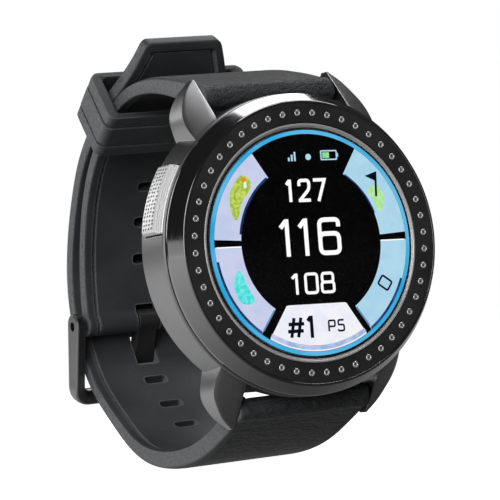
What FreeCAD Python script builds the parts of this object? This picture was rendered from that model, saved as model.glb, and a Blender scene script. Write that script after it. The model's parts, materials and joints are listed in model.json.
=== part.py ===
"""Golf GPS watch on a buckled silicone strap.

Frame: origin at the centre of the case back's flat face, +X to 3 o'clock,
+Z to 12 o'clock, and the dial faces -Y.  Lengths are millimetres.
"""
import FreeCAD, Part
import math
import os
import Sketcher
from FreeCAD import Placement, Rotation, Vector

os.makedirs("parts", exist_ok=True)
doc = FreeCAD.newDocument("golf_gps_watch")

# ---------------------------------------------------------------- driving sizes
# y runs from the dial (negative) to the case back (0) and on round the wrist.
DRIVING = {
    "front_y": -13.4, "bezel_back_y": -10.4, "shoulder_y": -9.6, "bevel_y": -2.4,
    "case_radius": 22.3, "neck_radius": 21.5, "cavity_radius": 16.9, "back_edge_radius": 20.0,
    "bezel_front_radius": 20.8, "bezel_rear_radius": 22.2, "insert_inner": 17.6,
    "insert_outer": 20.5, "insert_depth": 0.85, "stud_circle": 19.0, "stud_count": 48,
    "stud_radius": 0.5, "trim_inner": 16.8, "trim_outer": 17.5, "glass_radius": 16.6,
    "glass_thick": 1.2, "panel_radius": 16.5, "panel_thick": 0.7, "board_thick": 0.8,
    "board_back_y": -7.8, "cover_radius": 19.2, "cover_thick": 1.7,
    "lug_half_gap": 11.2, "lug_tip": 25.8, "bar_z": 23.0, "bar_y": -4.2,
    "button_angle": 157.5, "button_span": 27.0, "button_y": -6.65, "button_height": 5.3,
    "button_top": 23.2, "button_base": 21.6, "stem_radius": 0.75,
    "strap_width": 22.0, "loop_radius": 1.9, "bar_tube_radius": 0.75,
    "keeper_wide": 8.8, "keeper_half_width": 13.5, "keeper_wall": 1.2,
    "buckle_half_width": 13.2, "buckle_arm": 1.6, "pin_radius": 0.75, "tongue_width": 3.6,
    "running_gap": 0.05,
}


class Size:
    """A length together with the sheet expression that gives it."""

    def __init__(self, value, text):
        self.value = value
        self.text = text

    def joined(self, other, sign, result):
        text = other.text if isinstance(other, Size) else repr(other)
        return Size(result, "(%s %s %s)" % (self.text, sign, text))

    def __add__(self, other):
        return self.joined(other, "+", self.value + number(other))

    def __sub__(self, other):
        return self.joined(other, "-", self.value - number(other))

    def __mul__(self, other):
        return self.joined(other, "*", self.value * number(other))

    def __truediv__(self, other):
        return self.joined(other, "/", self.value / number(other))

    def __neg__(self):
        return Size(-self.value, "(-1 * %s)" % self.text)


def number(size):
    return size.value if isinstance(size, Size) else float(size)


def fill_sheet():
    sheet = doc.addObject("Spreadsheet::Sheet", "Dims")
    for row, (alias, value) in enumerate(DRIVING.items(), start=1):
        sheet.set("A%d" % row, alias)
        sheet.set("B%d" % row, str(value))
        sheet.setAlias("B%d" % row, alias)
    doc.recompute()
    return {alias: Size(value, "Dims." + alias) for alias, value in DRIVING.items()}


class Sizes:
    """The sheet's aliases as attributes."""

    def __init__(self, table):
        self.__dict__.update(table)


S = Sizes(fill_sheet())
nodes = []


def keep(obj, label):
    """Give a finished sub-part its name and put it on the list to write."""
    obj.Label = label
    nodes.append(obj)
    return obj


def bind(obj, prop, size):
    """Set a property, and bind it to the sheet where the size comes from there."""
    if isinstance(size, Size):
        obj.setExpression(prop, size.text)
    else:
        setattr(obj, prop, size)


# ---------------------------------------------------------------- sketch helpers
def plane(body, role):
    return next(f for f in body.Origin.OriginFeatures if f.Role == role)


def new_sketch(body, role, offset=None):
    sketch = body.newObject("Sketcher::SketchObject", "Sketch")
    sketch.AttachmentSupport = (plane(body, role), [""])
    sketch.MapMode = "FlatFace"
    if offset is not None:
        sketch.AttachmentOffset = offset
    return sketch


def pin_point(sketch, geo, end, point):
    """Dimension one end of an edge from the sketch origin, in both directions."""
    for kind, size in zip(("DistanceX", "DistanceY"), point):
        index = sketch.addConstraint(Sketcher.Constraint(kind, -1, 1, geo, end, number(size)))
        if isinstance(size, Size):
            sketch.setExpression("Constraints[%d]" % index, size.text)


def polygon(sketch, corners):
    """A closed outline of straight edges through dimensioned corners."""
    flat = [Vector(number(a), number(b), 0) for a, b in corners]
    first = sketch.GeometryCount
    count = len(flat)
    for i in range(count):
        sketch.addGeometry(Part.LineSegment(flat[i], flat[(i + 1) % count]), False)
    for i in range(count):
        after = first + (i + 1) % count
        sketch.addConstraint(Sketcher.Constraint("Coincident", first + i, 2, after, 1))
        pin_point(sketch, first + i, 1, corners[i])


def circle(sketch, centre, radius):
    middle = Vector(number(centre[0]), number(centre[1]), 0)
    geo = sketch.addGeometry(Part.Circle(middle, Vector(0, 0, 1), number(radius)), False)
    pin_point(sketch, geo, 3, centre)
    index = sketch.addConstraint(Sketcher.Constraint("Radius", geo, number(radius)))
    if isinstance(radius, Size):
        sketch.setExpression("Constraints[%d]" % index, radius.text)


def new_body(name):
    return doc.addObject("PartDesign::Body", name)


def revolve(body, corners, angle=360, kind="PartDesign::Revolution", offset=None):
    """Turn an (radius, y) outline about the watch's own axis, Y."""
    sketch = new_sketch(body, "XY_Plane", offset)
    polygon(sketch, corners)
    turn = body.newObject(kind, "Turn")
    turn.Profile = sketch
    turn.ReferenceAxis = (sketch, ["V_Axis"])
    turn.Midplane = number(angle) < 360
    bind(turn, "Angle", angle)
    return turn


def pad(body, role, draw, length, offset=None, midplane=False, kind="PartDesign::Pad"):
    """Pad or pocket the outline that draw puts in a new sketch."""
    sketch = new_sketch(body, role, offset)
    draw(sketch)
    feature = body.newObject(kind, "Pad")
    feature.Profile = sketch
    feature.Midplane = midplane
    bind(feature, "Length", length)
    return feature


def polar(body, feature, count):
    """Repeat a feature evenly about the watch's axis."""
    pattern = body.newObject("PartDesign::PolarPattern", "Pattern")
    pattern.Originals = [feature]
    pattern.Axis = (plane(body, "Y_Axis"), [""])
    pattern.Angle = 360
    bind(pattern, "Occurrences", count)
    body.Tip = pattern
    return pattern


def ring(label, inner, outer, front, back):
    """A flat ring, or a disc where inner is 0, turned about the watch's axis."""
    body = new_body(label)
    revolve(body, [(inner, front), (outer, front), (outer, back), (inner, back)])
    return keep(body, label)


# ---------------------------------------------------------------- Part helpers
def place(obj, base, rotation=Rotation()):
    obj.Placement = Placement(Vector(*[number(c) for c in base]), rotation)
    for axis, size in zip("xyz", base):
        if isinstance(size, Size):
            obj.setExpression("Placement.Base." + axis, size.text)
    return obj


def block(name, low, span):
    """A box from its lowest corner."""
    box = doc.addObject("Part::Box", name)
    for prop, size in zip(("Length", "Width", "Height"), span):
        bind(box, prop, size)
    return place(box, low)


def rod(name, radius, length, base, direction):
    """A cylinder from the centre of its first end."""
    cylinder = doc.addObject("Part::Cylinder", name)
    bind(cylinder, "Radius", radius)
    bind(cylinder, "Height", length)
    return place(cylinder, base, Rotation(Vector(0, 0, 1), Vector(*direction)))


def less(name, base, *tools):
    """Cut tools from a base."""
    for i, tool in enumerate(tools):
        cut = doc.addObject("Part::Cut", name if i == len(tools) - 1 else name + "_cut")
        cut.Base = base
        cut.Tool = tool
        base = cut
    return base


def together(name, *pieces):
    """Fuse pieces that touch into one solid."""
    fuse = doc.addObject("Part::MultiFuse", name)
    fuse.Shapes = list(pieces)
    return fuse


def group(name, *pieces):
    """Several separate solids in one node."""
    compound = doc.addObject("Part::Compound", name)
    compound.Links = list(pieces)
    return compound


def feature(label, shape, placement=Placement()):
    obj = doc.addObject("Part::Feature", label)
    obj.Shape = shape
    obj.Placement = placement
    return obj


def coil(label, radius, wire, turns, start, direction, length):
    """A helical spring with its axis from start along direction."""
    helix = Part.makeHelix(length / turns, length, radius)
    section = Part.Wire(Part.makeCircle(wire, Vector(radius, 0, 0), Vector(0, 1, 0)))
    shape = Part.Wire(helix).makePipeShell([section], True, True)
    turn = Rotation(Vector(0, 0, 1), Vector(*direction))
    return keep(feature(label, shape, Placement(Vector(*start), turn)), label)


# ---------------------------------------------------------------- button direction
TURN = number(S.button_angle)
OUT = Vector(math.cos(math.radians(TURN)), 0, math.sin(math.radians(TURN)))
BUTTON_TURN = Rotation(Vector(0, 1, 0), -TURN)
AXIS_X, AXIS_Y, AXIS_Z = (1, 0, 0), (0, 1, 0), (0, 0, 1)


def button_rod(name, radius, inner, outer):
    """A cylinder on the button's axis between two distances from the watch's centre."""
    base = OUT * inner
    direction = (OUT.x, OUT.y, OUT.z)
    return rod(name, radius, outer - inner, (base.x, S.button_y, base.z), direction)


# ---------------------------------------------------------------- case
def lug_section(z, inner, outer, rear, back):
    """One cross-section of the 1 o'clock lug, its front sloping down to the outer side.

    inner and outer are the front's depths at the strap's side and at the outer side."""
    gap = number(S.lug_half_gap)
    edge = rear + 0.7 if z < 24.0 else rear + 0.2
    corners = [(gap, inner), (edge, outer), (rear, back - 0.3), (rear - 0.3, back), (gap, back)]
    return Part.makePolygon([Vector(x, y, z) for x, y in corners + corners[:1]])


def lugs():
    """Four pointed lugs, each lofted from the case wall out to its tip."""
    tip = number(S.lug_tip)
    shoulder = number(S.shoulder_y) + 0.2
    sections = [lug_section(15.5, shoulder, shoulder, 13.9, -1.2),
                lug_section(18.6, shoulder, shoulder + 1.6, 14.6, -0.5),
                lug_section(21.6, -7.3, -5.9, 14.2, -0.1),
                lug_section(24.0, -5.1, -4.5, 12.9, -0.4),
                lug_section(tip, -3.5, -3.4, 11.6, -1.9)]
    lug = Part.makeLoft(sections, True, True)
    pair = [lug, lug.mirror(Vector(), Vector(1, 0, 0))]
    both = pair + [one.mirror(Vector(), Vector(0, 0, 1)) for one in pair]
    return [feature("lug_%d" % i, one) for i, one in enumerate(both)]


def strap_bay(side):
    """The hollow between two lugs where the strap's end turns on its bar."""
    reach, floor = 2.3, 20.7
    bay = block("bay", (-S.lug_half_gap, S.bar_y - reach, floor if side > 0 else -30.0),
                (S.lug_half_gap * 2, 9.0, 30.0 - floor))
    return bay


def case_body():
    shell = new_body("case_shell")
    revolve(shell, [(S.cavity_radius, S.bezel_back_y), (S.neck_radius, S.bezel_back_y),
                    (S.neck_radius, S.shoulder_y - 0.15), (S.case_radius - 0.25, S.shoulder_y - 0.15),
                    (S.case_radius, S.shoulder_y + 0.1), (S.case_radius, S.bevel_y),
                    (S.back_edge_radius, -0.4), (S.cover_radius + 0.05, -0.4),
                    (S.cover_radius + 0.05, -S.cover_thick), (S.cavity_radius, -S.cover_thick)])
    half = S.button_height / 2 + 0.2
    revolve(shell, [(20.9, S.button_y - half), (23.5, S.button_y - half),
                    (23.5, S.button_y + half), (20.9, S.button_y + half)],
            angle=S.button_span + 1.6, kind="PartDesign::Groove",
            offset=Placement(Vector(), BUTTON_TURN))
    revolve(shell, [(18.5, S.bezel_back_y), (19.7, S.bezel_back_y),
                    (19.7, S.bezel_back_y + 0.6), (18.5, S.bezel_back_y + 0.6)],
            kind="PartDesign::Groove")
    revolve(shell, [(17.0, -S.cover_thick - 0.4), (17.4, -S.cover_thick - 0.4),
                    (17.4, -S.cover_thick), (17.0, -S.cover_thick)], kind="PartDesign::Groove")
    drilled = [rod("bar_hole", S.bar_tube_radius - 0.25, S.lug_half_gap * 2 + 2.4,
                   (-S.lug_half_gap - 1.2, S.bar_y, S.bar_z * side), AXIS_X) for side in (1, -1)]
    drilled += [rod("screw_hole", 0.5, 3.0, (x, -4.6, z), AXIS_Y) for x, z in screw_places()]
    drilled += [button_rod("sleeve_hole", 1.2, 15.0, 19.2), button_rod("spring_hole", 1.75, 19.2, 22.0)]
    whole = together("case_blank", shell, *lugs())
    seat = rod("cover_seat", S.cover_radius + 0.05, 3.0, (0, -S.cover_thick, 0), AXIS_Y)
    return keep(less("case_body", whole, seat, strap_bay(1), strap_bay(-1), *drilled), "case_body")


def screw_places():
    radius = 18.1
    angles = [math.radians(a) for a in (45, 135, 225, 315)]
    return [(radius * math.cos(a), radius * math.sin(a)) for a in angles]


# ---------------------------------------------------------------- bezel and display
def bezel():
    floor = S.front_y + S.insert_depth
    body = new_body("bezel_ring")
    revolve(body, [(S.insert_inner, floor), (S.insert_outer, floor), (S.insert_outer, S.front_y),
                   (S.bezel_front_radius, S.front_y), (S.bezel_rear_radius, S.bezel_back_y - 0.5),
                   (S.bezel_rear_radius, S.bezel_back_y), (S.insert_inner, S.bezel_back_y)])
    keep(body, "bezel_ring")

    insert = new_body("bezel_insert")
    revolve(insert, [(S.insert_inner, S.front_y + 0.05), (S.insert_outer - 0.05, S.front_y + 0.05),
                     (S.insert_outer - 0.05, floor), (S.insert_inner, floor)])
    doc.recompute()
    holes = pad(insert, "XZ_Plane", lambda s: circle(s, (0, S.stud_circle), S.stud_radius + 0.02),
                30, midplane=True, kind="PartDesign::Pocket")
    polar(insert, holes, S.stud_count)
    keep(insert, "bezel_insert")

    studs = new_body("bezel_studs")
    studs.AllowCompound = True
    one = pad(studs, "XZ_Plane", lambda s: stud_outline(s), S.insert_depth + 0.03,
              offset=Placement(Vector(0, 0, -number(floor)), Rotation()))
    polar(studs, one, S.stud_count)
    keep(studs, "bezel_studs")
    ring("inner_trim_ring", S.trim_inner, S.trim_outer, S.front_y + 0.1, S.bezel_back_y - 0.05)
    ring("case_gasket", 18.55, 19.65, S.bezel_back_y, S.bezel_back_y + 0.55)


def stud_outline(sketch):
    """A round stud with a small blind eye, drawn as two circles."""
    circle(sketch, (0, S.stud_circle), S.stud_radius)
    circle(sketch, (0, S.stud_circle), S.stud_radius * 0.45)


def display():
    glass_front = S.front_y + 0.05
    glass_back = glass_front + S.glass_thick
    panel_back = glass_back + S.panel_thick
    glass = new_body("glass_lens")
    edge = 0.2
    revolve(glass, [(0, glass_front), (S.glass_radius - edge, glass_front),
                    (S.glass_radius, glass_front + edge), (S.glass_radius, glass_back),
                    (0, glass_back)])
    keep(glass, "glass_lens")
    ring("lens_gasket", S.glass_radius, S.trim_inner, glass_front + 0.25, glass_back)
    ring("display_panel", 0, S.panel_radius, glass_back, panel_back)
    ring("display_backlight", 0, S.panel_radius - 0.6, panel_back, panel_back + 0.6)
    frame = new_body("display_frame")
    rim, floor = S.panel_radius - 0.5, panel_back + 0.65
    outer, back = S.trim_inner - 0.1, S.bezel_back_y + 0.3
    revolve(frame, [(0, floor), (rim, floor), (rim, panel_back), (outer, panel_back),
                    (outer, back), (0, back)])
    keep(frame, "display_frame")
    tapes = [block("tape_a", (-4.0, back, -12.0), (8.0, 0.15, 8.0)),
             block("tape_b", (-4.0, back, -12.15), (8.0, 1.35, 0.15))]
    keep(together("display_flex", *tapes), "display_flex")


# ---------------------------------------------------------------- electronics
def electronics():
    front = S.board_back_y - S.board_thick
    board = rod("board_blank", 15.6, S.board_thick, (0, front, 0), AXIS_Y)
    notch = block("board_notch", (9.5, front - 1.0, -9.0), (7.0, 3.0, 16.0))
    keep(less("main_board", board, notch), "main_board")
    cans = [block("can_a", (-11.0, front - 0.95, -6.0), (9.0, 0.95, 11.0)),
            block("can_b", (-0.5, front - 0.95, -2.0), (8.5, 0.95, 9.0))]
    keep(group("board_shields", *cans), "board_shields")
    hoop = rod("hoop", 16.7, 1.6, (0, -9.9, 0), AXIS_Y)
    hollow = rod("hoop_hollow", 16.1, 3.0, (0, -10.6, 0), AXIS_Y)
    gap = block("hoop_gap", (-2.0, -10.6, 10.0), (4.0, 3.0, 8.0))
    keep(less("gps_antenna", hoop, hollow, gap), "gps_antenna")
    tray = block("tray_blank", (-11.5, -6.9, -11.2), (21.0, 3.6, 22.4))
    cell = block("tray_hollow", (-11.0, -6.4, -10.7), (20.0, 5.0, 21.4))
    keep(less("battery_tray", tray, cell), "battery_tray")
    keep(block("battery", (-10.9, -6.35, -10.6), (19.8, 3.6, 21.2)), "battery")


def vibration_motor():
    """A bar motor beside the battery, its eccentric weight on the shaft's free end."""
    x, y = 12.4, -4.4
    can = rod("motor_can", 1.9, 7.5, (x, y, -6.5), AXIS_Z)
    bore = rod("motor_bore", 0.45, 9.0, (x, y, -7.0), AXIS_Z)
    keep(less("motor_housing", can, bore), "motor_housing")
    keep(rod("motor_shaft", 0.4, 11.3, (x, y, -6.3), AXIS_Z), "motor_shaft")
    lobe = rod("lobe", 1.8, 3.4, (x, y, 1.5), AXIS_Z)
    half = block("lobe_half", (x - 3.0, y + 0.6, 1.0), (6.0, 3.0, 5.0))
    hole = rod("lobe_hole", 0.4, 4.0, (x, y, 1.2), AXIS_Z)
    keep(less("motor_weight", lobe, half, hole), "motor_weight")


# ---------------------------------------------------------------- button
def button():
    """The cap is a sector of a ring; its stem runs in a sleeve through the case wall."""
    cap = new_body("cap_blank")
    low, high = S.button_y - S.button_height / 2, S.button_y + S.button_height / 2
    revolve(cap, [(S.button_base, low), (22.2, low), (22.55, low + 0.45), (22.85, low + 0.9),
                  (S.button_top, low + 1.35), (S.button_top, high - 0.4),
                  (S.button_top - 0.4, high), (S.button_base, high)], angle=S.button_span)
    cap.Placement = Placement(Vector(), BUTTON_TURN)
    socket = button_rod("cap_socket", S.stem_radius, 20.0, 22.2)
    keep(less("button_cap", cap, socket), "button_cap")

    stem = button_rod("stem_blank", S.stem_radius, 16.3, 22.2)
    waists = []
    for start, end in ((16.5, 16.75), (17.5, 17.8), (18.3, 18.6)):
        waists.append(less("waist", button_rod("waist_out", 1.0, start, end),
                           button_rod("waist_in", 0.5, start - 0.5, end + 0.5)))
    keep(less("button_stem", stem, *waists), "button_stem")
    seals = [less("seal", button_rod("seal_out", S.stem_radius + 0.02, start + 0.02, end - 0.02),
                  button_rod("seal_in", 0.52, start - 0.5, end + 0.5))
             for start, end in ((17.5, 17.8), (18.3, 18.6))]
    keep(group("button_seals", *seals), "button_seals")
    clip = less("clip_blank", button_rod("clip_out", 1.3, 16.52, 16.73),
                button_rod("clip_in", 0.52, 16.0, 17.3))
    mouth = block("clip_mouth", (OUT.x * 16.6 - 1.0, number(S.button_y) + 0.3, OUT.z * 16.6 - 0.4),
                  (2.0, 2.0, 0.8))
    keep(less("button_clip", clip, mouth), "button_clip")
    keep(less("button_sleeve", button_rod("sleeve_out", 1.2, 16.8, 19.2),
              button_rod("sleeve_in", S.stem_radius + S.running_gap, 16.0, 20.0)), "button_sleeve")
    start = OUT * 19.4
    coil("button_spring", 1.3, 0.14, 4.0, (start.x, number(S.button_y), start.z),
         (OUT.x, 0, OUT.z), 1.95)
    switch = doc.addObject("Part::Box", "button_switch")
    switch.Length, switch.Width, switch.Height = 1.5, 1.9, 3.0
    corner = OUT * 14.2 + BUTTON_TURN.multVec(Vector(0, 0, -1.5))
    switch.Placement = Placement(Vector(corner.x, number(S.board_back_y), corner.z), BUTTON_TURN)
    keep(switch, "button_switch")


# ---------------------------------------------------------------- back
CONTACT_X = (-3.75, -1.25, 1.25, 3.75)
CONTACT_Z = -6.0


def back():
    cover = rod("cover_blank", S.cover_radius, S.cover_thick, (0, -S.cover_thick, 0), AXIS_Y)
    edge = doc.addObject("Part::Chamfer", "cover_edge")
    edge.Base = cover
    doc.recompute()
    rim = [i for i, e in enumerate(cover.Shape.Edges, start=1)
           if isinstance(e.Curve, Part.Circle) and abs(e.Curve.Center.y) < 1e-6]
    edge.Edges = [(i, 0.5, 0.5) for i in rim]
    tools = [block("window", (-5.4, -3.0, CONTACT_Z - 1.4), (10.8, 4.0, 2.8))]
    for x, z in screw_places():
        tools.append(rod("clear_hole", 0.6, 3.0, (x, -2.5, z), AXIS_Y))
        tools.append(rod("head_hole", 0.85, 2.0, (x, -0.9, z), AXIS_Y))
    keep(less("back_cover", edge, *tools), "back_cover")
    ring("back_gasket", 17.0, 17.4, -S.cover_thick - 0.38, -S.cover_thick)
    screws = []
    for x, z in screw_places():
        head = rod("head", 0.8, 0.7, (x, -0.9, z), AXIS_Y)
        shank = rod("shank", 0.48, 3.5, (x, -4.4, z), AXIS_Y)
        slot = block("screw_slot", (x - 0.6, -0.5, z - 0.1), (1.2, 1.0, 0.2))
        screws.append(less("screw", together("screw_blank", head, shank), slot))
    keep(group("back_screws", *screws), "back_screws")
    carrier = block("carrier_blank", (-5.35, -1.9, CONTACT_Z - 1.35), (10.7, 1.85, 2.7))
    holes = [rod("contact_hole", 0.8, 4.0, (x, -3.0, CONTACT_Z), AXIS_Y) for x in CONTACT_X]
    keep(less("contact_carrier", carrier, *holes), "contact_carrier")
    pads = [rod("contact", 0.8, 2.1, (x, -2.1, CONTACT_Z), AXIS_Y) for x in CONTACT_X]
    keep(group("charging_contacts", *pads), "charging_contacts")


# ---------------------------------------------------------------- spring bars
def spring_bar(name, z):
    """A tube with a sprung plunger at each end that drops into the lugs."""
    half = S.lug_half_gap - 0.6
    tube = rod("tube_out", S.bar_tube_radius, half * 2, (-half, S.bar_y, z), AXIS_X)
    bore = rod("tube_in", 0.5, half * 2 + 2.0, (-half - 1.0, S.bar_y, z), AXIS_X)
    keep(less(name + "_bar_tube", tube, bore), name + "_bar_tube")
    inner, tip = 7.4, 12.1
    keep(rod(name + "_pin_left", 0.44, tip - inner, (-tip, S.bar_y, z), AXIS_X), name + "_pin_left")
    keep(rod(name + "_pin_right", 0.44, tip - inner, (inner, S.bar_y, z), AXIS_X), name + "_pin_right")
    reach = inner - 0.15
    coil(name + "_bar_spring", 0.3, 0.09, 14, (-reach, number(S.bar_y), number(z)), AXIS_X, 2 * reach)


# ---------------------------------------------------------------- strap
# Places in the strap's plane are (y, z).
BUCKLE_PIN = (45.5, -7.7)
FAR_BAR = (48.6, -19.2)
KEEPER_MIDDLE = (27.7, 23.8)
KEEPER_TILT = 54.0
KEEPER_ROTATION = Rotation(Vector(1, 0, 0), KEEPER_TILT)


def keeper_point(along, out):
    """A (y, z) place from its distances in the keeper's own frame."""
    spot = KEEPER_ROTATION.multVec(Vector(0, out, along))
    return (KEEPER_MIDDLE[0] + spot.y, KEEPER_MIDDLE[1] + spot.z)


def ribbon(points, thick):
    """The side outline of a strap whose centreline is a smooth curve, as a flat face.

    thick has the strap's thickness at each point."""
    line = Part.BSplineCurve()
    line.interpolate([Vector(0, y, z) for y, z in points])
    sides = {1: [], -1: []}
    for (y, z), depth in zip(points, thick):
        spot = Vector(0, y, z)
        run = line.tangent(line.parameter(spot))[0]
        across = Vector(1, 0, 0).cross(run).normalize()
        for side in sides:
            sides[side].append(spot + across * (side * depth / 2))
    edges = []
    for side in (1, -1):
        curve = Part.BSplineCurve()
        curve.interpolate(sides[side])
        edges.append(curve.toShape())
    ends = [Part.makeLine(sides[1][i], sides[-1][i]) for i in (0, -1)]
    return Part.Face(Part.Wire(Part.__sortEdges__(edges + ends)))


def swept(face, half_width):
    """A flat side outline made into a strap across the full width."""
    moved = face.translated(Vector(-half_width, 0, 0))
    return moved.extrude(Vector(2 * half_width, 0, 0))


def cross_rod(place_yz, radius, half_width):
    return Part.makeCylinder(radius, 2 * half_width, Vector(-half_width, *place_yz), Vector(1, 0, 0))


def slot_cutter(place_yz, run_yz, wide=4.0, long=1.6):
    """A rounded slot through the strap, its length across the strap."""
    slab = Part.makeBox(wide, 8.0, long, Vector(-wide / 2, -4.0, -long / 2))
    rounded = slab.makeFillet(long * 0.45, [e for e in slab.Edges if upright(e)])
    turn = Rotation(Vector(0, 0, 1), Vector(0, *run_yz))
    rounded.Placement = Placement(Vector(0, *place_yz), turn)
    return rounded


def upright(edge):
    return abs(edge.tangentAt(edge.FirstParameter).y) > 0.9


def cut_all(shape, cutters):
    for cutter in cutters:
        shape = shape.cut(cutter)
    return shape


UPPER_LINE = [(-4.2, 23.0), (2.8, 25.2), (10.0, 26.8), (17.0, 27.3), (24.4, 26.0), (29.9, 23.0),
              (34.8, 19.1), (39.4, 13.9), (42.95, 7.0), (44.85, 0.3), (45.5, -7.7)]
UPPER_THICK = [3.4, 3.0, 2.6, 2.4, 2.4, 2.4, 2.4, 2.4, 2.4, 2.4, 2.4]
UPPER_SLOTS = [((39.3, 14.1), (0.62, -0.78)), ((42.35, 8.4), (0.42, -0.9)), ((44.3, 2.4), (0.25, -0.97))]
TAIL_THICK = 2.6
TAIL_OUT = 3.4
TAIL_TIP = 11.9
LOWER_SLOTS = [((44.6, -18.2), (-0.72, -0.69)), ((40.0, -22.5), (-0.8, -0.6)), ((35.2, -26.0), (-0.86, -0.5))]


def strap_upper():
    half = number(S.strap_width) / 2 - 0.1
    lug_end = (number(S.bar_y), number(S.bar_z))
    body = swept(ribbon(UPPER_LINE, UPPER_THICK), half)
    for end in (lug_end, BUCKLE_PIN):
        body = body.fuse(cross_rod(end, number(S.loop_radius), half))
    bore = number(S.bar_tube_radius + S.running_gap)
    cutters = [cross_rod(end, bore, half + 1) for end in (lug_end, BUCKLE_PIN)]
    notch = number(S.tongue_width) / 2 + 0.2
    cutters.append(Part.makeBox(2 * notch, 10.0, 5.2, Vector(-notch, 40.0, -10.4)))
    cutters += [slot_cutter(at, run) for at, run in UPPER_SLOTS]
    return keep(feature("strap_upper", cut_all(body, cutters).removeSplitter()), "strap_upper")


def lower_line():
    """The long strap's centreline, from the tip of its tail to the lug."""
    tail = [keeper_point(TAIL_TIP, TAIL_OUT + 2.0), keeper_point(8.0, TAIL_OUT + 0.6),
            keeper_point(4.0, TAIL_OUT), keeper_point(-6.0, TAIL_OUT)]
    return tail + [(40.6, 18.2), (44.4, 13.2), (48.7, 4.85), (50.4, -3.2), (48.9, -11.5),
                   (45.4, -17.6), (40.0, -22.5), (30.7, -28.4), (20.0, -30.1), (9.0, -28.7),
                   (2.3, -26.3), (-4.2, -23.0)]


def tongue_space():
    """The wedge that the tongue sweeps through the strap, from shut to lifted."""
    half = 1.9
    pin = Vector(-half, *BUCKLE_PIN)
    spots = [pin]
    for angle, reach in ((-9.0, 11.8), (30.0, 11.8), (50.0, 5.5)):
        run = Rotation(Vector(1, 0, 0), angle).multVec(tongue_direction())
        spots.append(pin + run * reach)
    face = Part.Face(Part.makePolygon(spots + spots[:1]))
    return face.extrude(Vector(2 * half, 0, 0))


def tongue_direction():
    run = Vector(0, FAR_BAR[0] - BUCKLE_PIN[0], FAR_BAR[1] - BUCKLE_PIN[1])
    return run.normalize()


def strap_lower():
    half = number(S.strap_width) / 2 - 0.1
    line = lower_line()
    thick = [TAIL_THICK] * (len(line) - 5) + [2.8, 2.9, 3.0, 3.1, 3.4]
    body = swept(ribbon(line, thick), half)
    lug_end = (number(S.bar_y), -number(S.bar_z))
    body = body.fuse(cross_rod(lug_end, number(S.loop_radius), half))
    cutters = [cross_rod(lug_end, number(S.bar_tube_radius + S.running_gap), half + 1), tongue_space()]
    cutters += [slot_cutter(at, run) for at, run in LOWER_SLOTS]
    cutters += [tip_corner(side, half) for side in (1, -1)]
    return keep(feature("strap_lower", cut_all(body, cutters).removeSplitter()), "strap_lower")


def tip_corner(side, half):
    """One of the long wedges that narrow the tail towards its tip."""
    tip_half, taper = 6.5, 0.36
    over = 1.0
    low = TAIL_TIP - (half + over - tip_half) / taper
    spots = [(side * (tip_half - over * taper), TAIL_TIP + over),
             (side * (half + over), TAIL_TIP + over), (side * (half + over), low)]
    flat = [Vector(x, -2.0, z) for x, z in spots]
    wedge = Part.Face(Part.makePolygon(flat + flat[:1])).extrude(Vector(0, 14.0, 0))
    wedge.Placement = Placement(Vector(0, *KEEPER_MIDDLE), KEEPER_ROTATION)
    return wedge


def keeper():
    """A wide rectangular loop with cut corners and two grooves round it."""
    body = new_body("keeper")
    inside_low, inside_high = -2.6, 5.0
    inner_bevel, outer_bevel = 0.4, 1.0
    groove_out, groove_deep, groove_wide = 2.1, 0.35, 0.5

    def outline(grow, bevel):
        wide = (S.keeper_half_width - 1.8) + grow * 1.5
        low, high = -grow + inside_low, grow + inside_high
        return [(-wide + bevel, low), (wide - bevel, low), (wide, low + bevel),
                (wide, high - bevel), (wide - bevel, high), (-wide + bevel, high),
                (-wide, high - bevel), (-wide, low + bevel)]

    def wall(inner, outer):
        def draw(sketch):
            polygon(sketch, outline(inner, inner_bevel))
            polygon(sketch, outline(outer, outer_bevel))
        return draw

    thick = S.keeper_wall
    pad(body, "XY_Plane", wall(thick * 0, thick), S.keeper_wide, midplane=True)
    for side in (1, -1):
        pad(body, "XY_Plane", wall(thick - groove_deep, thick + 3.0), groove_wide,
            offset=Placement(Vector(0, 0, side * groove_out), Rotation()), midplane=True,
            kind="PartDesign::Pocket")
    body.Placement = Placement(Vector(0, *KEEPER_MIDDLE), KEEPER_ROTATION)
    return keep(body, "keeper")


# ---------------------------------------------------------------- buckle
def buckle_placement():
    """From the buckle's own frame, local Y to its far bar and local Z away from the wrist."""
    run = tongue_direction()
    angle = math.degrees(math.atan2(run.z, run.y))
    return Placement(Vector(0, *BUCKLE_PIN), Rotation(Vector(1, 0, 0), angle))


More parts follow.
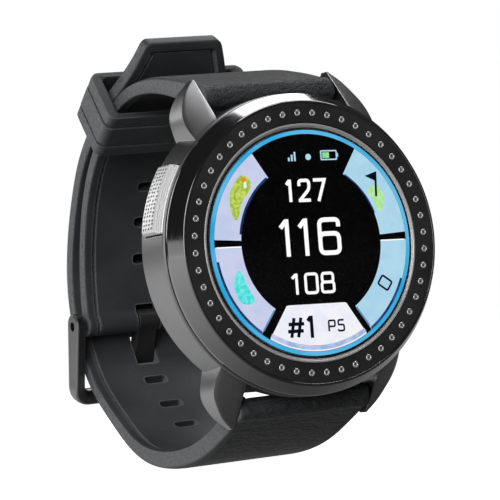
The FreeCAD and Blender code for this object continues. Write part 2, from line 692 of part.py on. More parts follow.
def buckle():
    span = math.dist(BUCKLE_PIN, FAR_BAR)
    ear, far = 2.0, 1.3
    wide = S.buckle_half_width
    inner = wide - S.buckle_arm
    corner = 2.6
    end = span + far
    plan = new_body("buckle_plan")
    pad(plan, "XY_Plane", lambda s: polygon(s, [
        (-wide, -ear), (-inner, -ear), (-inner, span - far), (inner, span - far), (inner, -ear),
        (wide, -ear), (wide, end - corner), (wide - corner * 0.3, end - corner * 0.3),
        (wide - corner, end), (-wide + corner, end), (-wide + corner * 0.3, end - corner * 0.3),
        (-wide, end - corner)]), 8.0, midplane=True)
    plan.Placement = buckle_placement()
    side = feature("buckle_side", arm_profile(ear, far, span), buckle_placement())
    both = doc.addObject("Part::Common", "buckle_blank")
    both.Base, both.Tool = plan, side
    holes = rod("ear_holes", S.pin_radius + S.running_gap, wide * 2 + 2.0,
                (-wide - 1.0, BUCKLE_PIN[0], BUCKLE_PIN[1]), AXIS_X)
    keep(less("buckle_frame", both, holes), "buckle_frame")

    length = wide * 2 - 0.5
    pin = rod("pin_blank", S.pin_radius, length, (-wide + 0.25, *BUCKLE_PIN), AXIS_X)
    eyes = [rod("pin_eye", 0.3, 1.0, (-wide, *BUCKLE_PIN), AXIS_X),
            rod("pin_eye", 0.3, 1.0, (wide - 1.0, *BUCKLE_PIN), AXIS_X)]
    keep(less("buckle_bar", pin, *eyes), "buckle_bar")
    keep(feature("buckle_tongue", tongue_shape(span, far), buckle_placement()), "buckle_tongue")


def arm_profile(ear, far, span):
    """The side view of the frame: two rounds and their common tangents, made wide."""
    lean = math.asin((ear - far) / span)
    sides = []
    for side in (1, -1):
        sides.append([(ear * math.sin(lean), side * ear * math.cos(lean)),
                      (span + far * math.sin(lean), side * far * math.cos(lean))])
    near_top, far_top = [Vector(-20, y, z) for y, z in sides[0]]
    near_low, far_low = [Vector(-20, y, z) for y, z in sides[1]]
    edges = [Part.makeLine(near_top, far_top),
             Part.Arc(far_top, Vector(-20, span + far, 0), far_low).toShape(),
             Part.makeLine(far_low, near_low),
             Part.Arc(near_low, Vector(-20, -ear, 0), near_top).toShape()]
    return Part.Face(Part.Wire(edges)).extrude(Vector(40, 0, 0))


def tongue_shape(span, far):
    """An eye round the pin and a blade that lies on the far bar, away from the wrist."""
    half = number(S.tongue_width) / 2
    eye, rest = 1.7, far + 0.12
    blade = [(0.0, 0.7), (0.6, -1.0), (span - 2.2, rest), (span + 1.3, rest),
             (span + 1.5, rest + 0.5), (span + 0.9, rest + 1.1), (span - 2.0, rest + 1.2)]
    flat = [Vector(-half, y, z) for y, z in blade]
    body = Part.Face(Part.makePolygon(flat + flat[:1])).extrude(Vector(2 * half, 0, 0))
    body = body.fuse(Part.makeCylinder(eye, 2 * half, Vector(-half, 0, 0), Vector(1, 0, 0)))
    bore = number(S.pin_radius + S.running_gap)
    hole = Part.makeCylinder(bore, 2 * half + 2, Vector(-half - 1, 0, 0), Vector(1, 0, 0))
    return body.cut(hole).removeSplitter()


# ---------------------------------------------------------------- build and write
def build():
    case_body()
    bezel()
    display()
    electronics()
    vibration_motor()
    button()
    back()
    spring_bar("upper", S.bar_z)
    spring_bar("lower", -S.bar_z)
    strap_upper()
    strap_lower()
    keeper()
    buckle()
    doc.recompute()


def check_and_write():
    for obj in doc.Objects:
        if "Invalid" in obj.State or "Error" in obj.State:
            raise RuntimeError("failed object: %s %s" % (obj.Label, obj.State))
    for node in nodes:
        if node.Shape.isNull() or not node.Shape.isValid() or not node.Shape.Solids:
            raise RuntimeError("bad shape: " + node.Label)
    for node in nodes:
        node.Shape.exportStep("parts/%s.step" % node.Label)
        print(node.Label, len(node.Shape.Solids), "solids,", round(node.Shape.Volume, 2), "mm3")


build()
check_and_write()
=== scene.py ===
"""The look of the golf GPS watch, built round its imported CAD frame.

Shapes are drawn in millimetres in the CAD's own frame: +X to 3 o'clock, +Z to
12 o'clock, the dial facing -Y.  add_piece() turns them into metres.
"""
import bmesh
import bpy
import json
import numpy as np
from math import asin, cos, degrees, dist, hypot, pi, radians, sin, sqrt
from mathutils import Matrix, Vector

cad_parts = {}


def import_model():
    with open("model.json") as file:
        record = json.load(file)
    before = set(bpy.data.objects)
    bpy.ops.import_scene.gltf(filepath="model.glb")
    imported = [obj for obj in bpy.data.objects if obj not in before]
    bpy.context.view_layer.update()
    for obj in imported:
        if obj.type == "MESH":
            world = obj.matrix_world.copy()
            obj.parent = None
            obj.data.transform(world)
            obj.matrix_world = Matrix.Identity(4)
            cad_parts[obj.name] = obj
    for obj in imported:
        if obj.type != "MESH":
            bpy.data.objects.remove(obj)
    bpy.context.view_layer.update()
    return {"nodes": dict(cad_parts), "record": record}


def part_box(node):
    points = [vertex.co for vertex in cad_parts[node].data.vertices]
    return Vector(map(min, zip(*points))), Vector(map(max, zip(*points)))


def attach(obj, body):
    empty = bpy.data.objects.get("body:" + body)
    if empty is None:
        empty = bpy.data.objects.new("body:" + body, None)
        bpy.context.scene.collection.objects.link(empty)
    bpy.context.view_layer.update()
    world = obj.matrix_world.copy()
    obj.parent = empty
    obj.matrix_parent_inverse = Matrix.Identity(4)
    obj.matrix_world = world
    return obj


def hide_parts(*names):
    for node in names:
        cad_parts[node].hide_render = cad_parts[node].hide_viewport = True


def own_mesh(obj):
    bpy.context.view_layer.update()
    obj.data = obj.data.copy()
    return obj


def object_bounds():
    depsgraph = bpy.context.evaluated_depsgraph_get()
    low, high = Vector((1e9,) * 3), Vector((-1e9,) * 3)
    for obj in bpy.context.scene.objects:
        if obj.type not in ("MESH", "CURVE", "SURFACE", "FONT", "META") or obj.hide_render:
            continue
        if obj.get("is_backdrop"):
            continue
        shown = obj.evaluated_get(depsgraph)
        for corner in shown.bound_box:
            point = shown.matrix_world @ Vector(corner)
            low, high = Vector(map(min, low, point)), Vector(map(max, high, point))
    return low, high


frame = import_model()
scene = bpy.context.scene
MM = 0.001


def box_mm(node):
    low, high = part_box(node)
    return low / MM, high / MM


# -------- camera
def camera():
    """The photograph's viewpoint: left of the dial, a little low and leaning."""
    data = bpy.data.cameras.new("camera")
    data.lens = 198.1
    data.sensor_width = 36.0
    data.clip_start = 0.01
    eye = bpy.data.objects.new("camera", data)
    right = Vector((0.88079, -0.45993, -0.11255))
    up = Vector((0.08432, -0.08156, 0.99310))
    back = Vector((-0.46593, -0.88420, -0.03306))
    turn = Matrix((right, up, back)).transposed().to_4x4()
    eye.matrix_world = Matrix.Translation((-0.19445, -0.36280, -0.01330)) @ turn
    scene.collection.objects.link(eye)
    scene.camera = eye


# -------- shader helpers
def node(tree, kind, inputs=None, **props):
    """A shader node; each input is a constant or another node's output."""
    made = tree.nodes.new(kind)
    for key, value in props.items():
        setattr(made, key, value)
    for key, value in (inputs or {}).items():
        if isinstance(value, bpy.types.NodeSocket):
            tree.links.new(value, made.inputs[key])
        else:
            made.inputs[key].default_value = value
    return made


def calc(tree, operation, a, b=0.0):
    return node(tree, "ShaderNodeMath", {0: a, 1: b}, operation=operation).outputs[0]


def times(tree, a, b):
    return calc(tree, "MULTIPLY", a, b)


def plus(tree, a, b):
    return calc(tree, "ADD", a, b)


def coords(tree, kind="Object"):
    return node(tree, "ShaderNodeTexCoord").outputs[kind]


def split(tree, vector):
    """The x, y and z of a vector."""
    return node(tree, "ShaderNodeSeparateXYZ", {0: vector}).outputs


def ramp(tree, value, low, high, out_low=0.0, out_high=1.0):
    """value turned smoothly from out_low to out_high between low and high."""
    made = node(tree, "ShaderNodeMapRange", {"Value": value, "From Min": low, "From Max": high,
                                             "To Min": out_low, "To Max": out_high},
                interpolation_type="SMOOTHSTEP")
    return made.outputs[0]


def srgb(code):
    """A colour as it looks on screen, from six hex digits."""
    parts = [int(code[i:i + 2], 16) / 255 for i in (0, 2, 4)]
    return tuple(c / 12.92 if c <= 0.04045 else ((c + 0.055) / 1.055) ** 2.4 for c in parts) + (1.0,)


def mixed(tree, share, one, two):
    made = node(tree, "ShaderNodeMix", {0: share, 6: one, 7: two}, data_type="RGBA")
    return made.outputs[2]


def grey(level, tint=0.0):
    """A grey, or a bluer one with tint."""
    return (level, level, level * (1 + tint), 1.0)


def scaled(colour, factor):
    """A colour made darker or lighter, no lighter than white."""
    return tuple(min(c * factor, 1) for c in colour[:3]) + (1.0,)


def spots(tree, scale, detail=3.0, stretch=(1, 1, 1), vector=None, rough=0.55):
    """Noise in object space; scale is features in each metre."""
    if vector is None:
        vector = coords(tree)
    moved = node(tree, "ShaderNodeMapping", {"Vector": vector, "Scale": stretch})
    made = node(tree, "ShaderNodeTexNoise", {"Vector": moved.outputs[0], "Scale": scale,
                                             "Detail": detail, "Roughness": rough})
    return made.outputs["Fac"]


def round_axis(tree):
    """Object space rolled out round the watch's axis: distance out, depth, way round."""
    x, y, z = split(tree, coords(tree))
    squared = plus(tree, times(tree, x, x), times(tree, z, z))
    out = calc(tree, "SQRT", squared)
    turn = times(tree, calc(tree, "ARCTAN2", z, x), 0.02)
    return node(tree, "ShaderNodeCombineXYZ", {0: out, 1: y, 2: turn}).outputs[0]


def bump(tree, height, distance, strength=1.0, below=None):
    inputs = {"Height": height, "Distance": distance, "Strength": strength}
    if below is not None:
        inputs["Normal"] = below
    return node(tree, "ShaderNodeBump", inputs).outputs[0]


def new_material(name):
    made = bpy.data.materials.new(name)
    made.use_nodes = True
    tree = made.node_tree
    return made, tree, tree.nodes["Principled BSDF"]


def connect(tree, shader, **inputs):
    """Set a shader's sockets, given with _ for each space in their names."""
    for key, value in inputs.items():
        socket = shader.inputs[key.replace("_", " ")]
        if isinstance(value, bpy.types.NodeSocket):
            tree.links.new(value, socket)
        else:
            socket.default_value = value


def edges(tree, radius, low=0.01, high=0.10):
    """1 where the surface turns sharply within radius, 0 on open faces."""
    turned = node(tree, "ShaderNodeBevel", {"Radius": radius}, samples=6).outputs[0]
    plain = node(tree, "ShaderNodeNewGeometry").outputs["Normal"]
    same = node(tree, "ShaderNodeVectorMath", {0: turned, 1: plain}, operation="DOT_PRODUCT")
    return ramp(tree, calc(tree, "SUBTRACT", 1.0, same.outputs["Value"]), low, high)


# -------- materials
def brushed(name, colour, roughness, depth=0.000004, wear=0.12):
    """Satin metal brushed round the watch's axis, its tone uneven with wear, a painted highlight on its
    edges.
    """
    made, tree, shader = new_material(name)
    lines = spots(tree, 1.0, detail=4, stretch=(9000, 9000, 260), vector=round_axis(tree))
    cloud = spots(tree, 160, detail=2)
    grain = ramp(tree, times(tree, lines, cloud), 0.12, 0.42)
    body = mixed(tree, grain, scaled(colour, 1 - wear), scaled(colour, 1 + wear))
    # Painted highlight: edges are lightened towards a brighter copy of the colour, patchy with the cloud
    # noise.
    edge_glint = times(tree, edges(tree, 0.00022), ramp(tree, cloud, 0.25, 0.6, 0.45, 1.0))
    connect(tree, shader, Metallic=1.0, Base_Color=mixed(tree, edge_glint, body, scaled(colour, 2.4)),
            Roughness=ramp(tree, lines, 0.3, 0.7, roughness - 0.05, roughness + 0.06),
            Normal=bump(tree, lines, depth))
    return made


def polished(name, colour, roughness, metallic=1.0):
    """Bright metal, or a bright metal paint, with very fine scuffs."""
    made, tree, shader = new_material(name)
    scuffs = spots(tree, 2600, detail=3)
    connect(tree, shader, Metallic=metallic, Base_Color=colour,
            Roughness=ramp(tree, scuffs, 0.35, 0.75, roughness, roughness + 0.08),
            Normal=bump(tree, scuffs, 0.000001))
    return made


def moulded(name, colour, roughness, grain=2200.0, depth=0.000012, spread=0.25):
    """Moulded plastic or rubber: a fine pebbled skin and slight changes of tone."""
    made, tree, shader = new_material(name)
    fine = spots(tree, grain, detail=2)
    broad = spots(tree, 140, detail=3)
    tone = mixed(tree, ramp(tree, broad, 0.3, 0.7), scaled(colour, 1 - spread), scaled(colour, 1 + spread))
    connect(tree, shader, Base_Color=tone,
            Roughness=ramp(tree, fine, 0.3, 0.7, roughness - 0.06, roughness + 0.08),
            Normal=bump(tree, fine, depth))
    return made


def silicone(name):
    """Charcoal strap rubber: matt skin, painted light on its sides and a painted highlight along its edges,
    leather-like creases by the lugs.
    """
    made, tree, shader = new_material(name)
    fine = spots(tree, 3000, detail=3)
    broad = spots(tree, 110, detail=3)
    at = coords(tree)
    x, y, z = split(tree, at)
    inner_width = ramp(tree, calc(tree, "ABSOLUTE", x), 0.0106, 0.0092)
    near_lug = times(tree, ramp(tree, y, 0.020, 0.004), inner_width)
    cells = node(tree, "ShaderNodeTexVoronoi", {"Vector": at, "Scale": 2100.0}, feature="DISTANCE_TO_EDGE")
    creases = times(tree, ramp(tree, cells.outputs["Distance"], 0.0, 0.22), near_lug)
    creases = times(tree, creases, ramp(tree, z, -0.01, 0.01, 0.35, 1.0))
    crinkle = ramp(tree, spots(tree, 620, detail=4, stretch=(0.8, 2.0, 2.0)), 0.40, 0.60)
    crinkle = times(tree, crinkle, times(tree, near_lug, 1.4))
    tone = mixed(tree, ramp(tree, broad, 0.3, 0.7), srgb("343537"), srgb("3e3f41"))
    # Painted light: faces turned to either side are lightened towards a pale grey, mottled by fine noise,
    # in place of light falling on them.
    side = ramp(tree, calc(tree, "ABSOLUTE", split(tree, coords(tree, "Normal"))[0]), 0.55, 0.95)
    dust_and_side_light = times(tree, side, ramp(tree, fine, 0.3, 0.7, 0.30, 1.0))
    painted_light_tone = mixed(tree, dust_and_side_light, tone, srgb("6e6f71"))
    # Painted highlight: edges are lightened towards a paler grey, as if catching the light.
    edge_highlight = times(tree, edges(tree, 0.00045), ramp(tree, fine, 0.25, 0.7, 0.4, 1.0))
    painted_light_tone = mixed(tree, times(tree, edge_highlight, 0.75), painted_light_tone, srgb("7c7d7f"))
    skin = bump(tree, fine, 0.000030, strength=0.9)
    leather = bump(tree, plus(tree, creases, crinkle), 0.00012, below=skin)
    connect(tree, shader, Base_Color=painted_light_tone, Normal=leather, Specular_IOR_Level=0.45,
            Roughness=ramp(tree, fine, 0.25, 0.75, 0.48, 0.62))
    return made


def knurled(name):
    """Bright silver with a small dotted knurl on the face that is pressed."""
    made, tree, shader = new_material(name)
    out, depth, turn = split(tree, round_axis(tree))
    flat = node(tree, "ShaderNodeCombineXYZ", {0: turn, 1: times(tree, depth, 0.62)}).outputs[0]
    cells = node(tree, "ShaderNodeTexVoronoi", {"Vector": flat, "Scale": 1900.0, "Randomness": 0.30},
                 voronoi_dimensions="2D")
    dots = ramp(tree, cells.outputs["Distance"], 0.36, 0.20)
    pits = times(tree, dots, ramp(tree, out, 0.02305, 0.02312))
    # Painted shade: the knurl's pits are coloured near-black, as if in shadow.
    connect(tree, shader, Metallic=0.45, Base_Color=mixed(tree, pits, grey(0.90), grey(0.10)),
            Roughness=0.36, Normal=bump(tree, pits, -0.00007, strength=0.9))
    return made


def clear_glass(name):
    """Coated cover glass: clear, with almost no reflection, and slight smudges."""
    made, tree, shader = new_material(name)
    smudge = spots(tree, 90, detail=2)
    connect(tree, shader, Base_Color=grey(1.0), Transmission_Weight=1.0, IOR=1.3,
            Roughness=ramp(tree, smudge, 0.4, 0.8, 0.0, 0.03))
    return made


def lit(name, code, second=None, scale=500.0, strength=1.0):
    """A patch of the lit screen, slightly mottled where a second colour is given."""
    made, tree, shader = new_material(name)
    tone = srgb(code)
    if second is not None:
        tone = mixed(tree, ramp(tree, spots(tree, scale, detail=2), 0.35, 0.65), tone, srgb(second))
    connect(tree, shader, Base_Color=grey(0.0), Roughness=0.5, Specular_IOR_Level=0.0,
            Emission_Color=tone, Emission_Strength=strength)
    return made


def dark_screen(name):
    made, tree, shader = new_material(name)
    dust_and_side_light = spots(tree, 3000, detail=1)
    connect(tree, shader, Base_Color=grey(0.0), Specular_IOR_Level=0.02,
            Roughness=ramp(tree, dust_and_side_light, 0.3, 0.7, 0.25, 0.35))
    return made


def foil(name):
    made, tree, shader = new_material(name)
    folds = spots(tree, 240, detail=4)
    connect(tree, shader, Metallic=0.6, Base_Color=grey(0.45, 0.05), Roughness=0.38,
            Normal=bump(tree, folds, 0.00008))
    return made


LOOKS = {
    "case": brushed("case_satin", grey(0.33, 0.02), 0.35, depth=0.0000018, wear=0.07),
    "bezel": brushed("bezel_gloss", grey(0.30, 0.02), 0.11, depth=0.0000006, wear=0.04),
    "insert": moulded("insert_matt", grey(0.020), 0.52, grain=3200.0, depth=0.000008),
    "stud": polished("stud_polished", grey(0.95), 0.12, metallic=0.8),
    "trim": polished("trim_polished", (0.92, 0.88, 0.87, 1.0), 0.16, metallic=0.65),
    "button": knurled("button_knurled"),
    "glass": clear_glass("cover_glass"),
    "screen": dark_screen("screen_black"),
    "diffuser": moulded("diffuser_white", grey(0.80), 0.5),
    "plastic": moulded("plastic_black", grey(0.03), 0.45),
    "silicone": silicone("strap_silicone"),
    "seal": moulded("seal_black", grey(0.012), 0.6),
    "buckle": brushed("buckle_satin", grey(0.27, 0.02), 0.34, depth=0.0000012, wear=0.05),
    "steel": polished("steel_plain", grey(0.50), 0.22),
    "contact": polished("contact_gold", (0.90, 0.62, 0.25, 1.0), 0.2),
    "board": moulded("board_green", (0.01, 0.10, 0.04, 1.0), 0.3),
    "shield": brushed("shield_tin", grey(0.55), 0.35),
    "antenna": polished("antenna_copper", (0.75, 0.40, 0.22, 1.0), 0.3),
    "flex": moulded("flex_amber", (0.45, 0.20, 0.03, 1.0), 0.3),
    "cell": foil("cell_foil"),
}


# -------- shape helpers
def link(name, mesh):
    made = bpy.data.objects.new(name, mesh)
    scene.collection.objects.link(made)
    return made


def add_piece(name, points, faces, material, crisp=38.0):
    """A mesh object from millimetre points, smooth but for edges sharper than crisp."""
    mesh = bpy.data.meshes.new(name)
    mesh.from_pydata([tuple(c * MM for c in p) for p in points], [], faces)
    tidy = bmesh.new()
    tidy.from_mesh(mesh)
    bmesh.ops.remove_doubles(tidy, verts=tidy.verts, dist=0.000001)
    bmesh.ops.dissolve_degenerate(tidy, edges=tidy.edges, dist=0.000001)
    bmesh.ops.recalc_face_normals(tidy, faces=tidy.faces)
    tidy.to_mesh(mesh)
    tidy.free()
    mesh.materials.append(material)
    piece = link(name, mesh)
    shade(piece, crisp)
    return piece


def shade(piece, crisp=38.0):
    piece.data.shade_smooth()
    piece.data.set_sharp_from_angle(angle=radians(crisp))


def weighted(piece):
    """Large faces keep flat shading beside their small rounded edges."""
    made = piece.modifiers.new("weighted", "WEIGHTED_NORMAL")
    made.keep_sharp = True
    made.weight = 60


def soften(corners, reach, steps=3, closed=True):
    """An outline with each corner rounded off, starting reach away from it."""
    count = len(corners)
    reaches = reach if isinstance(reach, (list, tuple)) else [reach] * count
    out = []
    for i in range(count):
        here = Vector(corners[i])
        if reaches[i] <= 0 or (not closed and i in (0, count - 1)):
            out.append(tuple(here))
            continue
        before = Vector(corners[i - 1]) - here
        after = Vector(corners[(i + 1) % count]) - here
        start = here + before.normalized() * min(reaches[i], before.length * 0.48)
        end = here + after.normalized() * min(reaches[i], after.length * 0.48)
        for k in range(steps + 1):
            t = k / steps
            out.append(tuple(start * (1 - t) ** 2 + here * (2 * t * (1 - t)) + end * t ** 2))
    return out


def loft(name, sections, material, ring=False, crisp=38.0):
    """Skin closed sections of equal count, in a row or as a closed ring."""
    count = len(sections[0])
    points = [p for section in sections for p in section]
    faces = []
    spans = len(sections) if ring else len(sections) - 1
    for i in range(spans):
        a, b = i * count, ((i + 1) % len(sections)) * count
        for k in range(count):
            n = (k + 1) % count
            faces.append((a + k, a + n, b + n, b + k))
    if not ring:
        faces.append(tuple(range(count))[::-1])
        faces.append(tuple(range(len(points) - count, len(points))))
    return add_piece(name, points, faces, material, crisp)


def lathe(name, outline, material, steps=192, start=0.0, sweep=360.0, crisp=38.0):
    """Turn an (radius, y) outline about the watch's axis."""
    full = sweep >= 360.0
    stations = steps if full else steps + 1
    sections = []
    for i in range(stations):
        angle = radians(start + sweep * i / steps)
        sections.append([(r * cos(angle), y, r * sin(angle)) for r, y in outline])
    return loft(name, sections, material, ring=full, crisp=crisp)


def prism(name, outline, low, high, material, place=lambda u, v, w: (u, v, w)):
    """An outline in (u, v) given thickness from w = low to w = high."""
    sections = [[place(u, v, w) for u, v in outline] for w in (low, high)]
    return loft(name, sections, material)


def carve(piece, tools, operation="DIFFERENCE"):
    """Apply booleans, then throw the tools away."""
    for tool in tools:
        cut = piece.modifiers.new("cut", "BOOLEAN")
        cut.operation = operation
        cut.solver = "EXACT"
        cut.object = tool
        bpy.context.view_layer.update()
        shape = piece.evaluated_get(bpy.context.evaluated_depsgraph_get())
        mesh = bpy.data.meshes.new_from_object(shape)
        piece.modifiers.clear()
        piece.data = mesh
        bpy.data.objects.remove(tool)
    return piece


def join(name, pieces):
    """Several meshes made into one object."""
    whole = bmesh.new()
    for piece in pieces:
        whole.from_mesh(piece.data)
    mesh = bpy.data.meshes.new(name)
    whole.to_mesh(mesh)
    whole.free()
    mesh.materials.append(pieces[0].data.materials[0])
    for piece in pieces:
        bpy.data.objects.remove(piece)
    return link(name, mesh)


def settle(piece, body, slot, *nodes):
    """Say which body a piece moves with and the CAD nodes it stands for; slot, its material slot, is not
    used.
    """
    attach(piece, body)
    if nodes:
        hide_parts(*nodes)
    return piece


def oblong(left, low, right, high):
    """A rectangle's four corners."""
    return [(left, low), (right, low), (right, high), (left, high)]


def whole_turn(steps):
    """Angles in equal steps all the way round."""
    return [2 * pi * k / steps for k in range(steps)]


def tool_box(low, high):
    return prism("tool", oblong(low[0], low[1], high[0], high[1]), low[2], high[2], LOOKS["steel"])


def tool_rod(centre, radius, low, high):
    """A round cutter along X, its centre given as (y, z)."""
    outline = [(centre[0] + radius * cos(a), centre[1] + radius * sin(a)) for a in whole_turn(40)]
    return prism("tool", outline, low, high, LOOKS["steel"], lambda u, v, w: (w, u, v))


# -------- case and bezel
FRONT = box_mm("bezel_ring")[0].y
CASE_RADIUS = 22.3
LUG_GAP = 11.2
BAR_PLACE = (-4.2, 23.0)
BUTTON_MIDDLE = 157.5
BUTTON_LEVEL = -6.65


def lug_section(z, edge, rear, back):
    """One section of the 1 o'clock lug: part of a cone in front, nearly flat outside."""
    steps = 6
    cone_front, slope, foremost = -9.5, 1.02, -9.45
    corners = []
    for k in range(steps + 1):
        x = LUG_GAP + (edge - LUG_GAP) * k / steps
        cone = cone_front + slope * (hypot(x, z) - CASE_RADIUS)
        corners.append((x, max(cone, foremost)))
    corners += [(rear, back - 0.3), (rear - 0.3, back), (LUG_GAP, back)]
    reaches = [0.10] + [0.0] * (steps - 1) + [0.12, 0.25, 0.25, 0.10]
    return [(x, y, z) for x, y in soften(corners, reaches, steps=2)]


def smooth_table(rows, steps):
    """Rows of numbers joined by a natural cubic spline over their first column."""
    table = np.array(rows, float)
    knots = table[:, 0]
    count = len(knots)
    gaps = np.diff(knots)
    system = np.eye(count)
    right = np.zeros((count, table.shape[1]))
    for i in range(1, count - 1):
        system[i, i - 1:i + 2] = gaps[i - 1], 2 * (gaps[i - 1] + gaps[i]), gaps[i]
        right[i] = 6 * ((table[i + 1] - table[i]) / gaps[i] - (table[i] - table[i - 1]) / gaps[i - 1])
    bend = np.linalg.solve(system, right)
    out = []
    for s in steps:
        i = int(min(max(np.searchsorted(knots, s) - 1, 0), count - 2))
        h = gaps[i]
        a, b = (knots[i + 1] - s) / h, (s - knots[i]) / h
        out.append(a * table[i] + b * table[i + 1]
                   + ((a ** 3 - a) * bend[i] + (b ** 3 - b) * bend[i + 1]) * h * h / 6)
    return np.array(out)


# The distance up, then the outer side in front, the outer side behind and the back face.
LUG_ROWS = [(15.5, 14.8, 13.8, -1.2), (16.9, 15.2, 14.1, -0.8), (19.4, 15.4, 14.5, -0.4),
            (21.0, 15.0, 14.4, -0.15), (22.5, 14.2, 13.8, -0.2), (24.2, 13.1, 12.7, -0.5),
            (25.8, 11.45, 11.5, -1.9)]


def lug(mirror_x, mirror_z):
    stations = np.linspace(LUG_ROWS[0][0], LUG_ROWS[-1][0], 24)
    sections = []
    for z, edge, rear, back in smooth_table(LUG_ROWS, stations):
        section = lug_section(z, edge, max(rear, LUG_GAP + 0.35), min(back, -0.1))
        sections.append([(x * mirror_x, y, q * mirror_z) for x, y, q in section])
    return loft("lug", sections, LOOKS["case"])


def case_body():
    corners = [(16.9, -10.4), (21.5, -10.4), (21.5, -9.75), (22.05, -9.75), (CASE_RADIUS, -9.5),
               (CASE_RADIUS, -2.4), (20.0, -0.4), (19.25, -0.4), (19.25, -1.7), (16.9, -1.7)]
    reach = [0, 0.1, 0, 0.08, 0.1, 0.3, 0.2, 0, 0, 0]
    shell = lathe("case", soften(corners, reach), LOOKS["case"], steps=256)
    carve(shell, [lug(a, b) for a in (1, -1) for b in (1, -1)], "UNION")
    tall, sweep = 2.85, 28.6
    recess = oblong(20.9, BUTTON_LEVEL - tall, 23.6, BUTTON_LEVEL + tall)
    hollow = oblong(0.01, -1.7, 19.25, 1.3)
    cuts = [lathe("tool", recess, LOOKS["case"], steps=24, start=BUTTON_MIDDLE - sweep / 2, sweep=sweep)]
    for side in (1, -1):
        low, high = sorted((20.7 * side, 30.0 * side))
        cuts.append(tool_box((-LUG_GAP, -6.5, low), (LUG_GAP, 2.5, high)))
        cuts.append(tool_rod((BAR_PLACE[0], BAR_PLACE[1] * side), 0.5, -12.4, 12.4))
    cuts.append(lathe("tool", hollow, LOOKS["case"], steps=128))
    carve(shell, cuts)
    shade(shell, 30.0)
    weighted(shell)
    settle(shell, "case", "case", "case_body")


def bezel():
    corners = [(17.6, -12.55), (20.5, -12.55), (20.5, FRONT), (20.8, FRONT), (22.2, -10.9),
               (22.2, -10.4), (17.6, -10.4)]
    outline = soften(corners, [0, 0, 0.10, 0.26, 0.18, 0.08, 0], steps=4)
    ring = lathe("bezel", outline, LOOKS["bezel"], steps=256)
    weighted(ring)
    settle(ring, "case", "bezel", "bezel_ring")


def studs():
    """Forty-eight small polished rings, each with a dark eye."""
    front = FRONT - 0.03
    outline = [(0.49, -12.6), (0.5, front + 0.16), (0.47, front + 0.06), (0.40, front + 0.01),
               (0.33, front), (0.26, front + 0.04), (0.21, front + 0.14), (0.20, -12.7), (0.3, -12.6)]
    made = []
    for way in whole_turn(48):
        x, z = 19.0 * sin(way), 19.0 * cos(way)
        sections = [[(x + r * cos(a), y, z + r * sin(a)) for r, y in outline]
                    for a in whole_turn(20)]
        made.append(loft("stud", sections, LOOKS["stud"], ring=True, crisp=60))
    whole = join("studs", made)
    shade(whole, 60)
    settle(whole, "case", "stud", "bezel_studs")


def trim_ring():
    """The bright inner ring: a flat lip, then a hollow slope down to the glass."""
    corners = [(17.5, -10.45), (17.5, FRONT + 0.1), (17.14, FRONT + 0.1), (17.08, FRONT + 0.32),
               (16.92, FRONT + 0.40), (16.86, FRONT + 0.62), (16.8, FRONT + 0.66), (16.8, -10.45)]
    outline = soften(corners, [0, 0.17, 0.15, 0.06, 0.06, 0.04, 0, 0])
    ring = lathe("trim_ring", outline, LOOKS["trim"], steps=256)
    weighted(ring)
    settle(ring, "case", "trim", "inner_trim_ring")


# -------- screen
SCREEN_TURN = radians(-2.4)
GLASS_BACK = FRONT + 0.17
PRINT_LEVEL = FRONT + 0.22
LAYER = 0.012


def cover_glass():
    front = FRONT + 0.05
    outline = soften(oblong(0.02, front, 16.6, GLASS_BACK), [0, 0.08, 0, 0])
    lens = lathe("cover_glass", outline, LOOKS["glass"], steps=192)
    settle(lens, "case", "glass", "glass_lens")


def screen_stack():
    """The bonded black layers under the cover glass."""
    outline = oblong(0.02, PRINT_LEVEL + LAYER, 16.55, -12.2)
    stack = lathe("screen_stack", outline, LOOKS["screen"], steps=192)
    settle(stack, "case", "screen")


def on_dial(x, z, y):
    """A place on the upright screen, turned with it, at depth y."""
    c, s = cos(SCREEN_TURN), sin(SCREEN_TURN)
    return (x * c - z * s, y, x * s + z * c)


def plate(layer):
    """The front and back of a lit plate that lies layer steps in front of the panel."""
    level = PRINT_LEVEL - layer * LAYER
    return level - LAYER * 0.6, level + LAYER * 0.3


def patch(outline, layer):
    """A thin lit plate with an (x, z) outline."""
    return prism("patch", outline, *plate(layer), LOOKS["screen"], on_dial)


def across_plate(one, two, layer):
    """The section of a lit plate between two (x, z) places."""
    front, back = plate(layer)
    return [on_dial(*one, front), on_dial(*two, front), on_dial(*two, back), on_dial(*one, back)]


def arc(radius, start, end, steps=40):
    turns = [radians(start + (end - start) * k / steps) for k in range(steps + 1)]
    return [(radius * cos(a), radius * sin(a)) for a in turns]


def band(inner, outer, start, end, layer, steps=40):
    """A ring sector, built of quads so that it stays clean."""
    near, far = arc(inner, start, end, steps), arc(outer, start, end, steps)
    sections = [across_plate(a, b, layer) for a, b in zip(near, far)]
    return loft("band", sections, LOOKS["screen"])


def stroke(path, width, layer, reach=0.0, closed=False):
    """A line of even width along a path, its corners rounded."""
    line = soften(path, reach, steps=5, closed=closed) if reach else list(path)
    count = len(line)
    sections = []
    for i in range(count):
        here = Vector(line[i])
        before = Vector(line[i - 1] if closed else line[max(i - 1, 0)])
        after = Vector(line[(i + 1) % count] if closed else line[min(i + 1, count - 1)])
        arrive, leave = here - before, after - here
        one = (arrive if arrive.length > 1e-9 else leave).normalized()
        two = (leave if leave.length > 1e-9 else arrive).normalized()
        along = (one + two).normalized()
        across = Vector((-along.y, along.x))
        grow = width / 2 / max(across.dot(Vector((-one.y, one.x))), 0.5)
        sections.append(across_plate(here + across * grow, here - across * grow, layer))
    return loft("stroke", sections, LOOKS["screen"], ring=closed)


